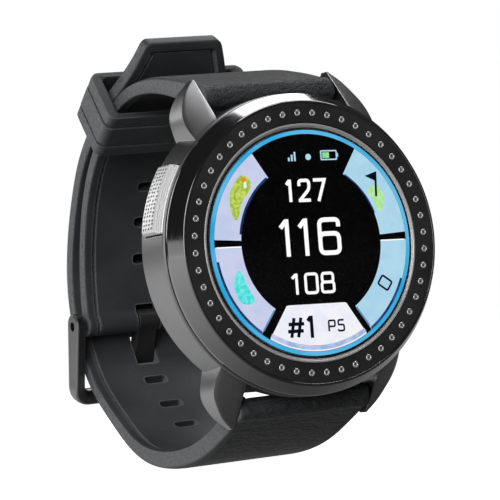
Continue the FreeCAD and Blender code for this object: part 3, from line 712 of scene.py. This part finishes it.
# Each mark is a list of (closed, corner reach, points); 1 is its height and its width is apart.
GLYPHS = {
    "0": [(True, 0.17, oblong(0, 0, 1, 1))],
    "1": [(False, 0.0, [(0.0, 0.80), (0.42, 1.0)]), (False, 0.0, [(0.5, -0.06), (0.5, 1.06)])],
    "2": [(False, 0.17, [(0, 0.72), (0, 1), (1, 1), (1, 0.56), (0, 0.0)]),
          (False, 0.0, [(-0.12, 0), (1.1, 0)])],
    "5": [(False, 0.16, [(1.0, 1), (0, 1), (0, 0.56), (1, 0.56), (1, 0), (0, 0), (0, 0.16)])],
    "6": [(True, 0.17, oblong(0, 0, 1, 0.58)), (False, 0.17, [(1.0, 0.78), (1.0, 1), (0, 1), (0, 0.3)])],
    "7": [(False, 0.0, [(-0.08, 1), (1, 1), (0.34, -0.07)])],
    "8": [(True, 0.16, oblong(0, 0, 1, 0.53)), (True, 0.16, oblong(0.05, 0.53, 0.95, 1))],
    "P": [(False, 0.14, [(0, 0), (0, 1), (1, 1), (1, 0.45), (0, 0.45)])],
    "#": [(False, 0.0, [(0.20, 0), (0.42, 1)]), (False, 0.0, [(0.62, 0), (0.84, 1)]),
          (False, 0.0, [(0.0, 0.32), (0.96, 0.32)]), (False, 0.0, [(0.06, 0.68), (1.02, 0.68)])],
}


def glyph(mark, left, right, low, high, width, layer):
    """One mark, its strokes' outer edges filling the given box."""
    half = width / 2
    x0, x1, z0, z1 = left + half, right - half, low + half, high - half
    made = []
    for closed, reach, points in GLYPHS[mark]:
        path = [(x0 + u * (x1 - x0), z0 + v * (z1 - z0)) for u, v in points]
        made.append(stroke(path, width, layer, reach * (z1 - z0), closed))
    return made


def lit_piece(name, pieces, material):
    whole = join(name, pieces)
    whole.data.materials[0] = material
    shade(whole)
    settle(whole, "case", "screen")


def numbers():
    """The three distances, each a row of (mark, left, right)."""
    rows = [(5.95, 9.35, 0.49, [("1", -3.75, -2.10), ("2", -1.66, 0.47), ("7", 0.87, 3.10)]),
            (-1.95, 3.58, 0.67, [("1", -5.35, -2.55), ("1", -2.25, 0.55), ("6", 1.10, 4.92)]),
            (-7.52, -4.35, 0.43, [("1", -3.95, -2.05), ("0", -1.74, 0.60), ("8", 0.93, 3.36)])]
    made = []
    for low, high, width, marks in rows:
        for mark, left, right in marks:
            made += glyph(mark, left, right, low, high, width, 1)
    lit_piece("screen_numbers", made, lit("lit_white", "ffffff", strength=1.05))


def hole_label():
    made = glyph("#", -5.3, -2.1, -13.9, -10.55, 0.52, 3)
    made += glyph("1", -2.0, -0.2, -13.95, -10.5, 0.56, 3)
    made += glyph("P", 1.62, 2.92, -13.2, -11.35, 0.28, 3)
    made += glyph("5", 3.20, 4.42, -13.2, -11.35, 0.28, 3)
    made.append(stroke([(11.55, 10.0), (11.38, 6.35)], 0.36, 4))
    made.append(patch([(9.68, 9.45), (11.6, 10.05), (11.5, 8.62)], 4))
    centre, turned = Vector((11.73, -6.44)), Matrix.Rotation(radians(-35.5), 2)
    corners = [tuple(centre + turned @ Vector(spot)) for spot in oblong(-0.95, -0.75, 0.95, 0.75)]
    made.append(stroke(corners, 0.30, 4, 0.30, closed=True))
    lit_piece("screen_dark_marks", made, lit("lit_navy", "030a18"))


def segments():
    inner, outer, middle = 11.55, 15.86, 13.5
    up, down = (degrees(asin(gap / middle)) for gap in (0.85, 0.08))
    left = [band(inner, outer, 123.5, 180 - up, 1), band(inner, outer, 180 + down, 234.0, 1)]
    lit_piece("screen_left", left, lit("lit_lavender", "c3cdec", "cdd3ee"))
    right = [band(inner, outer, up, 58.3, 1), band(inner, outer, 304.0, 360 - down, 1)]
    lit_piece("screen_right", right, lit("lit_ice", "a9d5ec", "b3dbef"))
    label = [(-8.02, -13.66), (-4.95, -9.02), (-4.6, -8.95), (4.6, -8.95), (4.95, -9.02), (8.02, -13.66)]
    label += arc(15.84, -59.4, -120.6, 24)[1:-1]
    lit_piece("screen_label", [patch(label, 1)], lit("lit_pale", "eceffa", "f6f7fd"))


def segment_edges():
    """The raised look of each segment: white upper edges and navy lower ones."""
    white = [stroke([(left, -0.16), (right, -0.16)], 0.18, 2)
             for left, right in ((-15.55, -11.6), (11.6, 15.55))]
    lit_piece("screen_white_edges", white, lit("lit_edge", "ffffff", strength=1.05))
    spans = [(11.48, 11.85, 124.5, 172), (11.48, 11.7, 20, 57), (15.50, 15.86, 188, 233.8),
             (15.50, 15.86, 304.2, 338)]
    navy = [band(*span, 2) for span in spans]
    lit_piece("screen_navy_edges", navy, lit("lit_shadow", "2c4a86", "16294f", 300.0))
    lower = [band(14.95, 15.62, 239.3, 300.7, 2)]
    lit_piece("screen_label_shade", lower, lit("lit_label_shade", "9fb2dc", "c3cfee", 700.0))
    ends = [stroke(path, 0.26, 2)
            for path in ([(-7.0, -9.55), (-9.0, -12.4)], [(6.62, -9.75), (8.62, -12.6)])]
    lit_piece("screen_end_shades", ends, lit("lit_end_shade", "6c86b8"))


def glow_ring():
    ring = [band(15.90, 16.48, way, way + 120, 0, 60) for way in (0, 120, 240)]
    lit_piece("screen_glow_ring", ring, lit("lit_cyan", "22a8dc", "62bde8", 90.0))


def blob(centre, radius, layer):
    outline = [(centre[0] + radius[0] * cos(a), centre[1] + radius[1] * sin(a))
               for a in whole_turn(24)]
    return patch(outline, layer)


def shape(corners, layer):
    """A flowing patch: its outline runs smoothly past every corner."""
    count = len(corners)
    around = corners[-3:] + corners + corners[:3]
    knots = [(i - 3, x, z) for i, (x, z) in enumerate(around)]
    return patch([tuple(row[1:]) for row in smooth_table(knots, np.arange(0, count, 0.25))], layer)


def maps():
    """A hole seen from above, a patch of water, and a green with its flag."""
    hole = shape([(-10.0, 10.0), (-9.35, 9.2), (-9.7, 7.8), (-10.85, 6.4), (-11.3, 5.2), (-11.8, 3.9),
                  (-12.5, 4.0), (-12.9, 5.8), (-12.75, 7.6), (-11.9, 9.2), (-10.9, 10.05)], 2)
    lit_piece("screen_hole", [hole], lit("lit_lime", "97b83e", "cbe066", 2100.0))
    lit_piece("screen_hole_tee", [blob((-10.42, 9.5), (0.36, 0.34), 3)], lit("lit_orange", "f08a2c"))
    lit_piece("screen_hole_spot", [blob((-10.25, 8.7), (0.26, 0.5), 3)], lit("lit_spot", "eef4ee"))
    green = shape([(10.1, 7.5), (11.2, 8.0), (12.3, 7.2), (12.75, 5.9), (12.3, 4.5), (11.7, 4.2),
                   (11.1, 4.9), (10.7, 6.0), (10.1, 6.8)], 2)
    lit_piece("screen_green", [green], lit("lit_green", "a8e49a", "bdf0a8", 1200.0))
    water = shape([(-12.4, -3.6), (-11.7, -4.2), (-11.2, -5.6), (-10.2, -7.4), (-10.3, -8.3),
                   (-11.4, -8.5), (-12.4, -8.0), (-13.1, -6.6), (-13.1, -5.0)], 2)
    lit_piece("screen_water", [water], lit("lit_water", "45d8da", "74f0e8", 1500.0))


def status_icons():
    """Three signal bars, a dot, and a battery outline with its charge."""
    icons = []
    for i in range(3):
        x = -2.75 + i * 0.5
        icons.append(stroke([(x, 11.95), (x, 12.5 + i * 0.4)], 0.28, 1))
    icons.append(blob((0.47, 12.5), (0.46, 0.46), 1))
    icons.append(stroke(oblong(2.62, 12.05, 5.2, 13.32), 0.19, 1, 0.12, closed=True))
    icons.append(stroke([(5.42, 12.4), (5.42, 12.97)], 0.16, 1))
    lit_piece("screen_icons", icons, lit("lit_icon", "b4dcf4"))
    charge = patch(oblong(2.86, 12.28, 3.98, 13.1), 1)
    lit_piece("screen_charge", [charge], lit("lit_charge", "7fe08a", "9fe8a8", 900.0))


def screen():
    cover_glass()
    screen_stack()
    glow_ring()
    segments()
    segment_edges()
    maps()
    numbers()
    hole_label()
    status_icons()


# -------- button
def button():
    """A sector of a ring with a ridged front side and rounded ends, on a wider lip."""
    low, high, top, inside = -9.3, -4.0, 23.2, 21.62
    side = [(22.0, low), (22.2, low)]
    ridges = 4
    start, end = Vector((22.25, low + 0.02)), Vector((23.05, low + 1.2))
    across = Vector((end.y - start.y, -(end.x - start.x))).normalized()
    for i in range(ridges):
        for share, depth in ((0.0, 0.0), (0.50, 0.0), (0.62, 0.24), (0.86, 0.24)):
            spot = start.lerp(end, (i + share) / ridges) - across * depth
            side.append((spot.x, spot.y))
    crown = [(top - 0.12, low + 1.30), (top, low + 1.5), (top, high - 0.45), (top - 0.08, high - 0.22),
             (top - 0.3, high - 0.05), (22.2, high), (inside, high), (inside, low)]
    half, steps, edge = 13.25, 48, 1.1
    sections = []
    for i in range(steps + 1):
        share = i / steps
        angle = -half + 2 * half * (0.5 - 0.5 * cos(pi * share))
        left = half - abs(angle)
        drop = 0.0 if left >= edge else 1 - sqrt(1 - (1 - left / edge) ** 2)
        way = radians(BUTTON_MIDDLE + angle)
        ring = []
        for r, y in side + crown:
            r -= drop * max(r - 22.6, 0) * 0.8
            ring.append((r * cos(way), y, r * sin(way)))
        sections.append(ring)
    cap = loft("button_cap", sections, LOOKS["button"], crisp=40)
    lip_shape = soften(oblong(inside, low + 0.5, 22.42, high), [0, 0.15, 0.15, 0])
    lip = lathe("lip", lip_shape, LOOKS["button"], steps=40, start=BUTTON_MIDDLE - 13.5, sweep=27.0)
    whole = join("button_cap_piece", [cap, lip])
    shade(whole, 40)
    weighted(whole)
    settle(whole, "button", "button", "button_cap")


# -------- straps
BUCKLE_PIN = (45.5, -7.7)
FAR_BAR = (48.6, -19.2)
KEEPER_MIDDLE = (27.7, 23.8)
KEEPER_TILT = radians(54.0)
HALF_WIDTH = 10.9
UPPER_LINE = [(-4.2, 23.0), (2.8, 25.2), (10.0, 26.8), (17.0, 27.3), (24.4, 26.0), (29.9, 23.0),
              (34.8, 19.1), (39.4, 13.9), (42.95, 7.0), (44.85, 0.3), (45.5, -7.7)]
UPPER_THICK = [3.4, 3.0, 2.6, 2.4, 2.4, 2.4, 2.4, 2.4, 2.4, 2.4, 2.4]
UPPER_SLOTS = [((39.3, 14.1), (0.62, -0.78)), ((42.35, 8.4), (0.42, -0.9)), ((44.3, 2.4), (0.25, -0.97))]
LOWER_SLOTS = [((44.6, -18.2), (-0.72, -0.69)), ((40.0, -22.5), (-0.8, -0.6)),
               ((35.2, -26.0), (-0.86, -0.5))]


def keeper_point(along, out):
    """A (y, z) place from its distances in the keeper's own frame."""
    c, s = cos(KEEPER_TILT), sin(KEEPER_TILT)
    return (KEEPER_MIDDLE[0] + out * c - along * s, KEEPER_MIDDLE[1] + out * s + along * c)


def lower_line():
    tail = [keeper_point(*spot) for spot in ((11.9, 5.4), (8.0, 4.0), (4.0, 3.4), (-6.0, 3.4))]
    return tail + [(40.6, 18.2), (44.4, 13.2), (48.7, 4.85), (50.4, -3.2), (48.9, -11.5), (45.4, -17.6),
                   (40.0, -22.5), (30.7, -28.4), (20.0, -30.1), (9.0, -28.7), (2.3, -26.3), (-4.2, -23.0)]


LOWER_THICK = [2.6] * 11 + [2.8, 2.9, 3.0, 3.1, 3.4]


class Route:
    """A strap's centreline and thickness, by distance along it."""

    def __init__(self, points, thick):
        gaps = [dist(a, b) for a, b in zip(points, points[1:])]
        run = np.concatenate([[0.0], np.cumsum(gaps)])
        self.rows = [(s, y, z, t) for s, (y, z), t in zip(run, points, thick)]
        self.length = float(run[-1])

    def at(self, s):
        """The place, the direction out and the thickness at distance s."""
        inside = min(max(s, 0.0), self.length)
        step = 0.02
        spots = [max(inside - step, 0), inside, min(inside + step, self.length)]
        near, here, far = smooth_table(self.rows, spots)
        place = Vector((here[1], here[2]))
        along = (Vector((far[1], far[2])) - Vector((near[1], near[2]))).normalized()
        return place + along * (s - inside), Vector((-along.y, along.x)), float(here[3])


def rise(value, low, high):
    t = min(max((value - low) / (high - low), 0.0), 1.0)
    return t * t * (3 - 2 * t)


def round_drop(distance, radius):
    """How far a rounded edge lies below the face, at a distance in from the side."""
    if distance >= radius:
        return 0.0
    return radius - sqrt(max(radius ** 2 - (radius - distance) ** 2, 0.0))


# Distances in from the strap's side where its section has points.
COLUMNS = [0.0, 0.05, 0.15, 0.3, 0.55, 0.9, 1.2, 1.4, 1.55, 1.7, 1.85, 2.0, 2.2, 2.6, 3.4, 4.6, 6.2, 8.2]
LOOP = 1.9


def stations(total, tip):
    """Distances along a strap, closer together at its ends and on past a loop."""
    past = [LOOP * sin(radians(a)) for a in (15, 30, 45, 60, 75, 88)]
    first = [0.0, 0.05, 0.15, 0.3, 0.55, 0.9, 1.2, 1.4, 1.55, 1.7, 1.9, 2.15]
    if not tip:
        first = [-gap for gap in reversed(past)] + [0.0, 0.5, 1.0, 1.5, 2.0]
    last = [total - gap for gap in (2.0, 1.5, 1.0, 0.5, 0.0)] + [total + gap for gap in past]
    return first + list(np.arange(2.4, total - 2.4, 0.75)) + last


def swelled(half, s, total, loops):
    """Half the thickness, grown to a round loop near an end that turns round a bar."""
    for is_loop, gap in zip(loops, (abs(s), abs(total - s))):
        if is_loop and gap < LOOP:
            bulge = sqrt(max(LOOP ** 2 - gap ** 2, 0.0))
            half = max(bulge, 0.03) if s < 0 or s > total else max(half, bulge)
    return half


def face_drops(d, s, total, tip, panel):
    """How far the outer and the inner face lie below flat, at a distance d in from the side."""
    if tip:
        d, flank = min(d, s), rise(total - s, 1, 8)
    else:
        flank = min(rise(s, panel[0] - 3, panel[0] + 6), rise(total - s, 2, 10))
    crease = 0.10 * (rise(d, 1.2, 1.55) - rise(d, 1.55, 1.85))
    outer = round_drop(d, 0.55) + (crease + 0.22 * (1 - rise(d, 0.0, 1.55))) * flank
    run_in = rise(s, panel[0], panel[0] + 1.0) * (1 - rise(s, panel[1] - 1.0, panel[1]))
    inner = round_drop(d, 0.3) + (0.85 * rise(d, 1.4, 1.7) - 0.45 * rise(d, 1.85, 2.2)) * run_in
    return outer, inner


def strap(name, route, tip=False, loops=(True, True), panel=(4.0, 90.0)):
    """A moulded strap: a shallow crease by each outer edge, a rim and a panel inside.

    tip narrows the first end; loops says which ends turn round a bar; panel gives
    where the recessed middle of the inside starts and stops."""
    total = route.length
    sections = []
    for s in stations(total, tip):
        place, out, thick = route.at(s)
        half = swelled(thick / 2, s, total, loops)
        wide, lean = HALF_WIDTH, 1.0
        if tip and s < 12.2:
            wide, lean = 6.5 + 0.36 * s - round_drop(s, 1.0), 1.06
        limit = half * 0.98
        outer, inner = [], []
        for d in COLUMNS:
            x = wide - d * lean if d * lean < wide - 0.2 else 0.0
            low_out, low_in = face_drops(d, s, total, tip, panel)
            outer.append((x, half - min(low_out, limit)))
            inner.append((x, min(low_in, limit) - half))
        ring = [(-x, n) for x, n in outer] + outer[::-1] + inner + [(-x, n) for x, n in inner[::-1]]
        sections.append([(x, place.x + out.x * n, place.y + out.y * n) for x, n in ring])
    return loft(name, sections, LOOKS["silicone"], crisp=42)


def slot_tool(place_yz, run_yz):
    """A rounded slot cutter, its length across the strap."""
    wide, long = 4.0, 1.6
    along = Vector(run_yz).normalized()
    out = Vector((-along.y, along.x))
    outline = soften(oblong(-wide / 2, -long / 2, wide / 2, long / 2), long * 0.45, steps=5)

    def place(u, v, w):
        return (u, place_yz[0] + along.x * v + out.x * w, place_yz[1] + along.y * v + out.y * w)

    return prism("tool", outline, -4.0, 4.0, LOOKS["silicone"], place)


def tongue_tool():
    """The wedge of the long strap that the tongue passes through."""
    pin = Vector(BUCKLE_PIN)
    run = (Vector(FAR_BAR) - pin).normalized()
    spots = [tuple(pin)]
    for angle, reach in ((-9.0, 11.8), (30.0, 11.8), (50.0, 5.5)):
        spots.append(tuple(pin + Matrix.Rotation(radians(angle), 2) @ run * reach))
    return prism("tool", spots, -1.86, 1.86, LOOKS["silicone"], lambda u, v, w: (w, u, v))


def straps():
    upper = strap("strap_short", Route(UPPER_LINE, UPPER_THICK), panel=(5.0, 88.0))
    cuts = [slot_tool(*slot) for slot in UPPER_SLOTS]
    cuts += [tool_rod(end, 0.8, -12, 12) for end in (BAR_PLACE, BUCKLE_PIN)]
    cuts.append(tool_box((-2.0, 40.0, -10.4), (2.0, 50.0, -5.2)))
    carve(upper, cuts)
    shade(upper, 42)
    settle(upper, "case", "silicone", "strap_upper")

    lower = strap("strap_long", Route(lower_line(), LOWER_THICK), tip=True, loops=(False, True),
                  panel=(1.3, 128.0))
    cuts = [slot_tool(*slot) for slot in LOWER_SLOTS]
    cuts += [tool_rod((BAR_PLACE[0], -BAR_PLACE[1]), 0.8, -12, 12), tongue_tool()]
    carve(lower, cuts)
    shade(lower, 42)
    settle(lower, "case", "silicone", "strap_lower")


# -------- keeper
def keeper():
    """A rectangular loop in three bands, the middle one proud, with soft edges."""
    inside = (11.7, -2.6, 5.0, 0.4)
    outside = (13.5, -3.8, 6.2, 0.9)

    def outline(half, low, high, bevel):
        corners = [(-half + bevel, low), (half - bevel, low), (half, low + bevel), (half, high - bevel),
                   (half - bevel, high), (-half + bevel, high), (-half, high - bevel), (-half, low + bevel)]
        return soften(corners, 0.5, steps=4)

    inner, outer = outline(*inside), outline(*outside)
    groove, wide, end = 2.1, 0.22, 4.4
    profile = [(-end, 0.15), (-end, 0.75), (-end + 0.12, 0.92), (-end + 0.4, 0.97)]
    profile += [(-groove - wide - 0.1, 0.97), (-groove - wide, 0.92), (-groove - 0.12, 0.68)]
    profile += [(-groove + 0.12, 0.68), (-groove + wide, 0.95), (-groove + wide + 0.14, 1.0)]
    profile += [(-a, b) for a, b in reversed(profile)]
    profile += [(end - 0.2, 0.0), (-end + 0.2, 0.0)]
    sections = []
    for (a, b), (c, d) in zip(inner, outer):
        section = []
        for along, share in profile:
            x, out = a + (c - a) * share, b + (d - b) * share
            y, z = keeper_point(along, out)
            section.append((x, y, z))
        sections.append(section)
    piece = loft("strap_keeper", sections, LOOKS["silicone"], ring=True, crisp=42)
    weighted(piece)
    settle(piece, "keeper", "silicone", "keeper")


# -------- buckle
def buckle_point(x, along, out):
    """From the buckle's own frame: along to its far bar, out away from the wrist."""
    pin = Vector(BUCKLE_PIN)
    run = (Vector(FAR_BAR) - pin).normalized()
    away = Vector((-run.y, run.x))
    spot = pin + run * along + away * out
    return (x, spot.x, spot.y)


BUCKLE_SPAN = dist(BUCKLE_PIN, FAR_BAR)
FAR_HALF = 1.3


def buckle_path(arm):
    """The frame's middle line and half thickness, from one ear round the far bar to the other."""
    ear, slim, wide, corner = 2.0, 1.65, 13.2, 2.6
    middle, radius = wide - arm / 2, corner - arm / 2
    path = []
    for angle in (88, 75, 60, 45, 30, 15):
        a = radians(angle)
        path.append((Vector((-middle, -ear * sin(a))), ear * cos(a)))
    for k in range(13):
        share = k / 12
        reach = (BUCKLE_SPAN - corner + FAR_HALF / 2) * share
        path.append((Vector((-middle, reach)), ear + (slim - ear) * share))
    for angle in (15, 30, 45, 60, 75):
        a = radians(angle)
        spot = Vector((-middle + radius * (1 - cos(a)), BUCKLE_SPAN - radius + radius * sin(a)))
        path.append((spot, slim + (FAR_HALF - slim) * angle / 90))
    for share in (0.0, 0.3, 0.7, 1.0):
        path.append((Vector((-middle + radius + (middle - radius) * share, BUCKLE_SPAN)), FAR_HALF))
    return path + [(Vector((-p.x, p.y)), tall) for p, tall in reversed(path[:-1])]


def buckle_frame():
    arm = 1.6
    path = buckle_path(arm)
    sections = []
    for i, (here, tall) in enumerate(path):
        before, after = path[max(i - 1, 0)][0], path[min(i + 1, len(path) - 1)][0]
        along = (after - before).normalized()
        across = Vector((-along.y, along.x))
        share = abs(along.x)
        half = arm / 2 * (1 - share) + FAR_HALF * share
        tall = max(tall, 0.05)
        edge = min(0.42, tall * 0.9) + share * 0.7
        outline = soften(oblong(-half, -tall, half, tall), edge, steps=4)
        sections.append([buckle_point(here.x + across.x * a, here.y + across.y * a, b) for a, b in outline])
    body = loft("buckle_loop", sections, LOOKS["buckle"], crisp=50)
    carve(body, [tool_rod(BUCKLE_PIN, 0.8, -16, 16)])
    shade(body, 42)
    weighted(body)
    settle(body, "buckle_frame", "buckle", "buckle_frame")


def buckle_bar():
    """The pin the buckle turns on, its ends set in behind a small rounded step."""
    half, recess = 12.2, 0.35
    outline = [(0.01, half - recess), (0.35, half - recess), (0.42, half), (0.6, half), (0.75, half - 0.15)]
    outline += [(r, -x) for r, x in reversed(outline)]
    sections = [[(x, BUCKLE_PIN[0] + r * cos(a), BUCKLE_PIN[1] + r * sin(a)) for r, x in outline]
                for a in whole_turn(24)]
    bar = loft("buckle_pin", sections, LOOKS["buckle"], ring=True)
    weighted(bar)
    settle(bar, "case", "buckle", "buckle_bar")


def buckle_tongue():
    """A bar that turns on the pin by a round eye and rests on the far bar."""
    rest, half, eye = FAR_HALF + 0.12, 1.8, 1.7
    turns = [radians(a) for a in range(60, 301, 20)]
    outline = [(eye * cos(a), eye * sin(a)) for a in turns]
    outline += [(eye, -0.82), (BUCKLE_SPAN - 2.2, rest), (BUCKLE_SPAN + 1.3, rest),
                (BUCKLE_SPAN + 1.5, rest + 0.5), (BUCKLE_SPAN + 0.9, rest + 1.1),
                (BUCKLE_SPAN - 2.0, rest + 1.2)]
    dark = moulded("tongue_dark", grey(0.022), 0.45, grain=3000.0, depth=0.000006)
    tongue = prism("buckle_tongue_piece", outline, -half, half, dark, lambda u, v, w: buckle_point(w, u, v))
    carve(tongue, [tool_rod(BUCKLE_PIN, 0.8, -4, 4)])
    bevel = tongue.modifiers.new("edges", "BEVEL")
    bevel.width = 0.18 * MM
    bevel.segments = 3
    bevel.limit_method = "ANGLE"
    bevel.angle_limit = radians(40)
    shade(tongue, 42)
    weighted(tongue)
    settle(tongue, "buckle_tongue", "buckle", "buckle_tongue")


# -------- springs
def spring(name, source, side=0):
    """A CAD spring, or its half on one side, as a piece of its own."""
    coil = bmesh.new()
    coil.from_mesh(frame["nodes"][source].data)
    bmesh.ops.remove_doubles(coil, verts=coil.verts, dist=0.0000005)
    if side:
        parts = coil.verts[:] + coil.edges[:] + coil.faces[:]
        bmesh.ops.bisect_plane(coil, geom=parts, plane_co=(0, 0, 0), plane_no=(-side, 0, 0),
                               clear_outer=True)
        bmesh.ops.holes_fill(coil, edges=[e for e in coil.edges if e.is_boundary])
    mesh = bpy.data.meshes.new(name)
    coil.to_mesh(mesh)
    coil.free()
    mesh.materials.append(LOOKS["steel"])
    piece = link(name, mesh)
    shade(piece, 42)
    settle(piece, "case", "steel", source)
    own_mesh(piece)


def springs():
    """The button's return spring, and each strap bar's spring in two halves."""
    spring("button_return_spring", "button_spring")
    for end, height in (("upper", 1), ("lower", -1)):
        source = end + "_bar_spring"
        for side, hand in ((-1, "left"), (1, "right")):
            spring(f"{source}_{hand}", source,
                   side)


# -------- CAD nodes that stay
def dress_nodes():
    """Every carried-over CAD node takes its slot's material."""
    slots = {}
    for part in frame["record"]["subparts"]:
        for name in part.get("nodes") or [part.get("node") or part.get("name")]:
            slots[name] = part["material_slot"]
    for name, thing in frame["nodes"].items():
        thing.data.materials.clear()
        thing.data.materials.append(LOOKS[slots[name]])


# -------- stage and light
def floor():
    """A white ground that casts no shadow and is left out of reflections."""
    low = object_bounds()[0][2]
    size = 6.0
    mesh = bpy.data.meshes.new("floor")
    mesh.from_pydata([(x, y, low) for x, y in oblong(-size, -size, size, size)], [], [(0, 1, 2, 3)])
    made, tree, shader = new_material("floor_white")
    connect(tree, shader, Base_Color=grey(0.9), Roughness=0.9, Emission_Color=grey(1.0),
            Emission_Strength=1.0)
    mesh.materials.append(made)
    plane = link("floor", mesh)
    plane.visible_glossy = False
    plane.visible_diffuse = False
    plane.visible_shadow = False
    plane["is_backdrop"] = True


def world():
    """White behind the watch; for its reflections, a dark room over a pale table."""
    sky = bpy.data.worlds.new("studio")
    scene.world = sky
    sky.use_nodes = True
    tree = sky.node_tree
    tree.nodes.clear()
    x, y, z = split(tree, coords(tree, "Generated"))
    table = plus(tree, times(tree, y, 0.24), times(tree, x, -0.32))
    table = plus(tree, table, times(tree, z, 0.40))
    table = calc(tree, "MAXIMUM", plus(tree, table, 0.45), 0.02)
    table = times(tree, table, ramp(tree, z, 0.06, -0.03))
    card = times(tree, ramp(tree, x, -0.80, -0.84), ramp(tree, z, 0.19, 0.17))
    card = times(tree, card, ramp(tree, z, -0.01, 0.02))
    level = plus(tree, table, times(tree, card, 0.62))
    level = plus(tree, level, 0.03)
    seen = node(tree, "ShaderNodeLightPath").outputs["Is Camera Ray"]
    dark = node(tree, "ShaderNodeBackground", {"Color": grey(1.0), "Strength": level})
    bright = node(tree, "ShaderNodeBackground", {"Color": grey(1.0), "Strength": 1.0})
    mix = node(tree, "ShaderNodeMixShader", {0: seen, 1: dark.outputs[0], 2: bright.outputs[0]})
    tree.links.new(mix.outputs[0], node(tree, "ShaderNodeOutputWorld").inputs[0])


def softbox(name, direction, distance, wide, tall, radiance, across=(1, 0, 0), glossy=True):
    """A soft light aimed at the watch; its brightness is the same at any distance."""
    data = bpy.data.lights.new(name, "AREA")
    data.shape = "RECTANGLE"
    data.size, data.size_y = wide, tall
    data.energy = radiance * pi * wide * tall
    lamp = bpy.data.objects.new(name, data)
    way = Vector(direction).normalized()
    side = Vector(across)
    side = (side - way * side.dot(way)).normalized()
    turn = Matrix((side, way.cross(side), way)).transposed().to_4x4()
    lamp.matrix_world = Matrix.Translation(way * distance) @ turn
    lamp.visible_camera = False
    lamp.visible_glossy = glossy
    scene.collection.objects.link(lamp)


def lights():
    softbox("top_box", (0.31, 0.472, 0.828), 0.5, 0.33, 0.13, 4.0, across=(0.6, 0.265, -0.36))
    softbox("lug_box", (0.16, -0.12, 0.98), 0.5, 0.20, 0.18, 3.2)
    softbox("right_box", (0.55, -0.10, 0.83), 0.5, 0.18, 0.26, 2.6)
    softbox("front_left_box", (-0.72, -0.60, 0.35), 0.6, 0.25, 0.45, 2.0)
    softbox("fill_box", (-0.62, -0.66, 0.42), 0.6, 0.40, 0.50, 4.2, glossy=False)
    softbox("button_box", (-0.33, 0.88, 0.30), 0.6, 0.20, 0.20, 2.0)


camera()
dress_nodes()
case_body()
bezel()
studs()
trim_ring()
screen()
button()
straps()
keeper()
buckle_frame()
buckle_bar()
buckle_tongue()
springs()
floor()
world()
lights()
scene.view_settings.view_transform = "Standard"
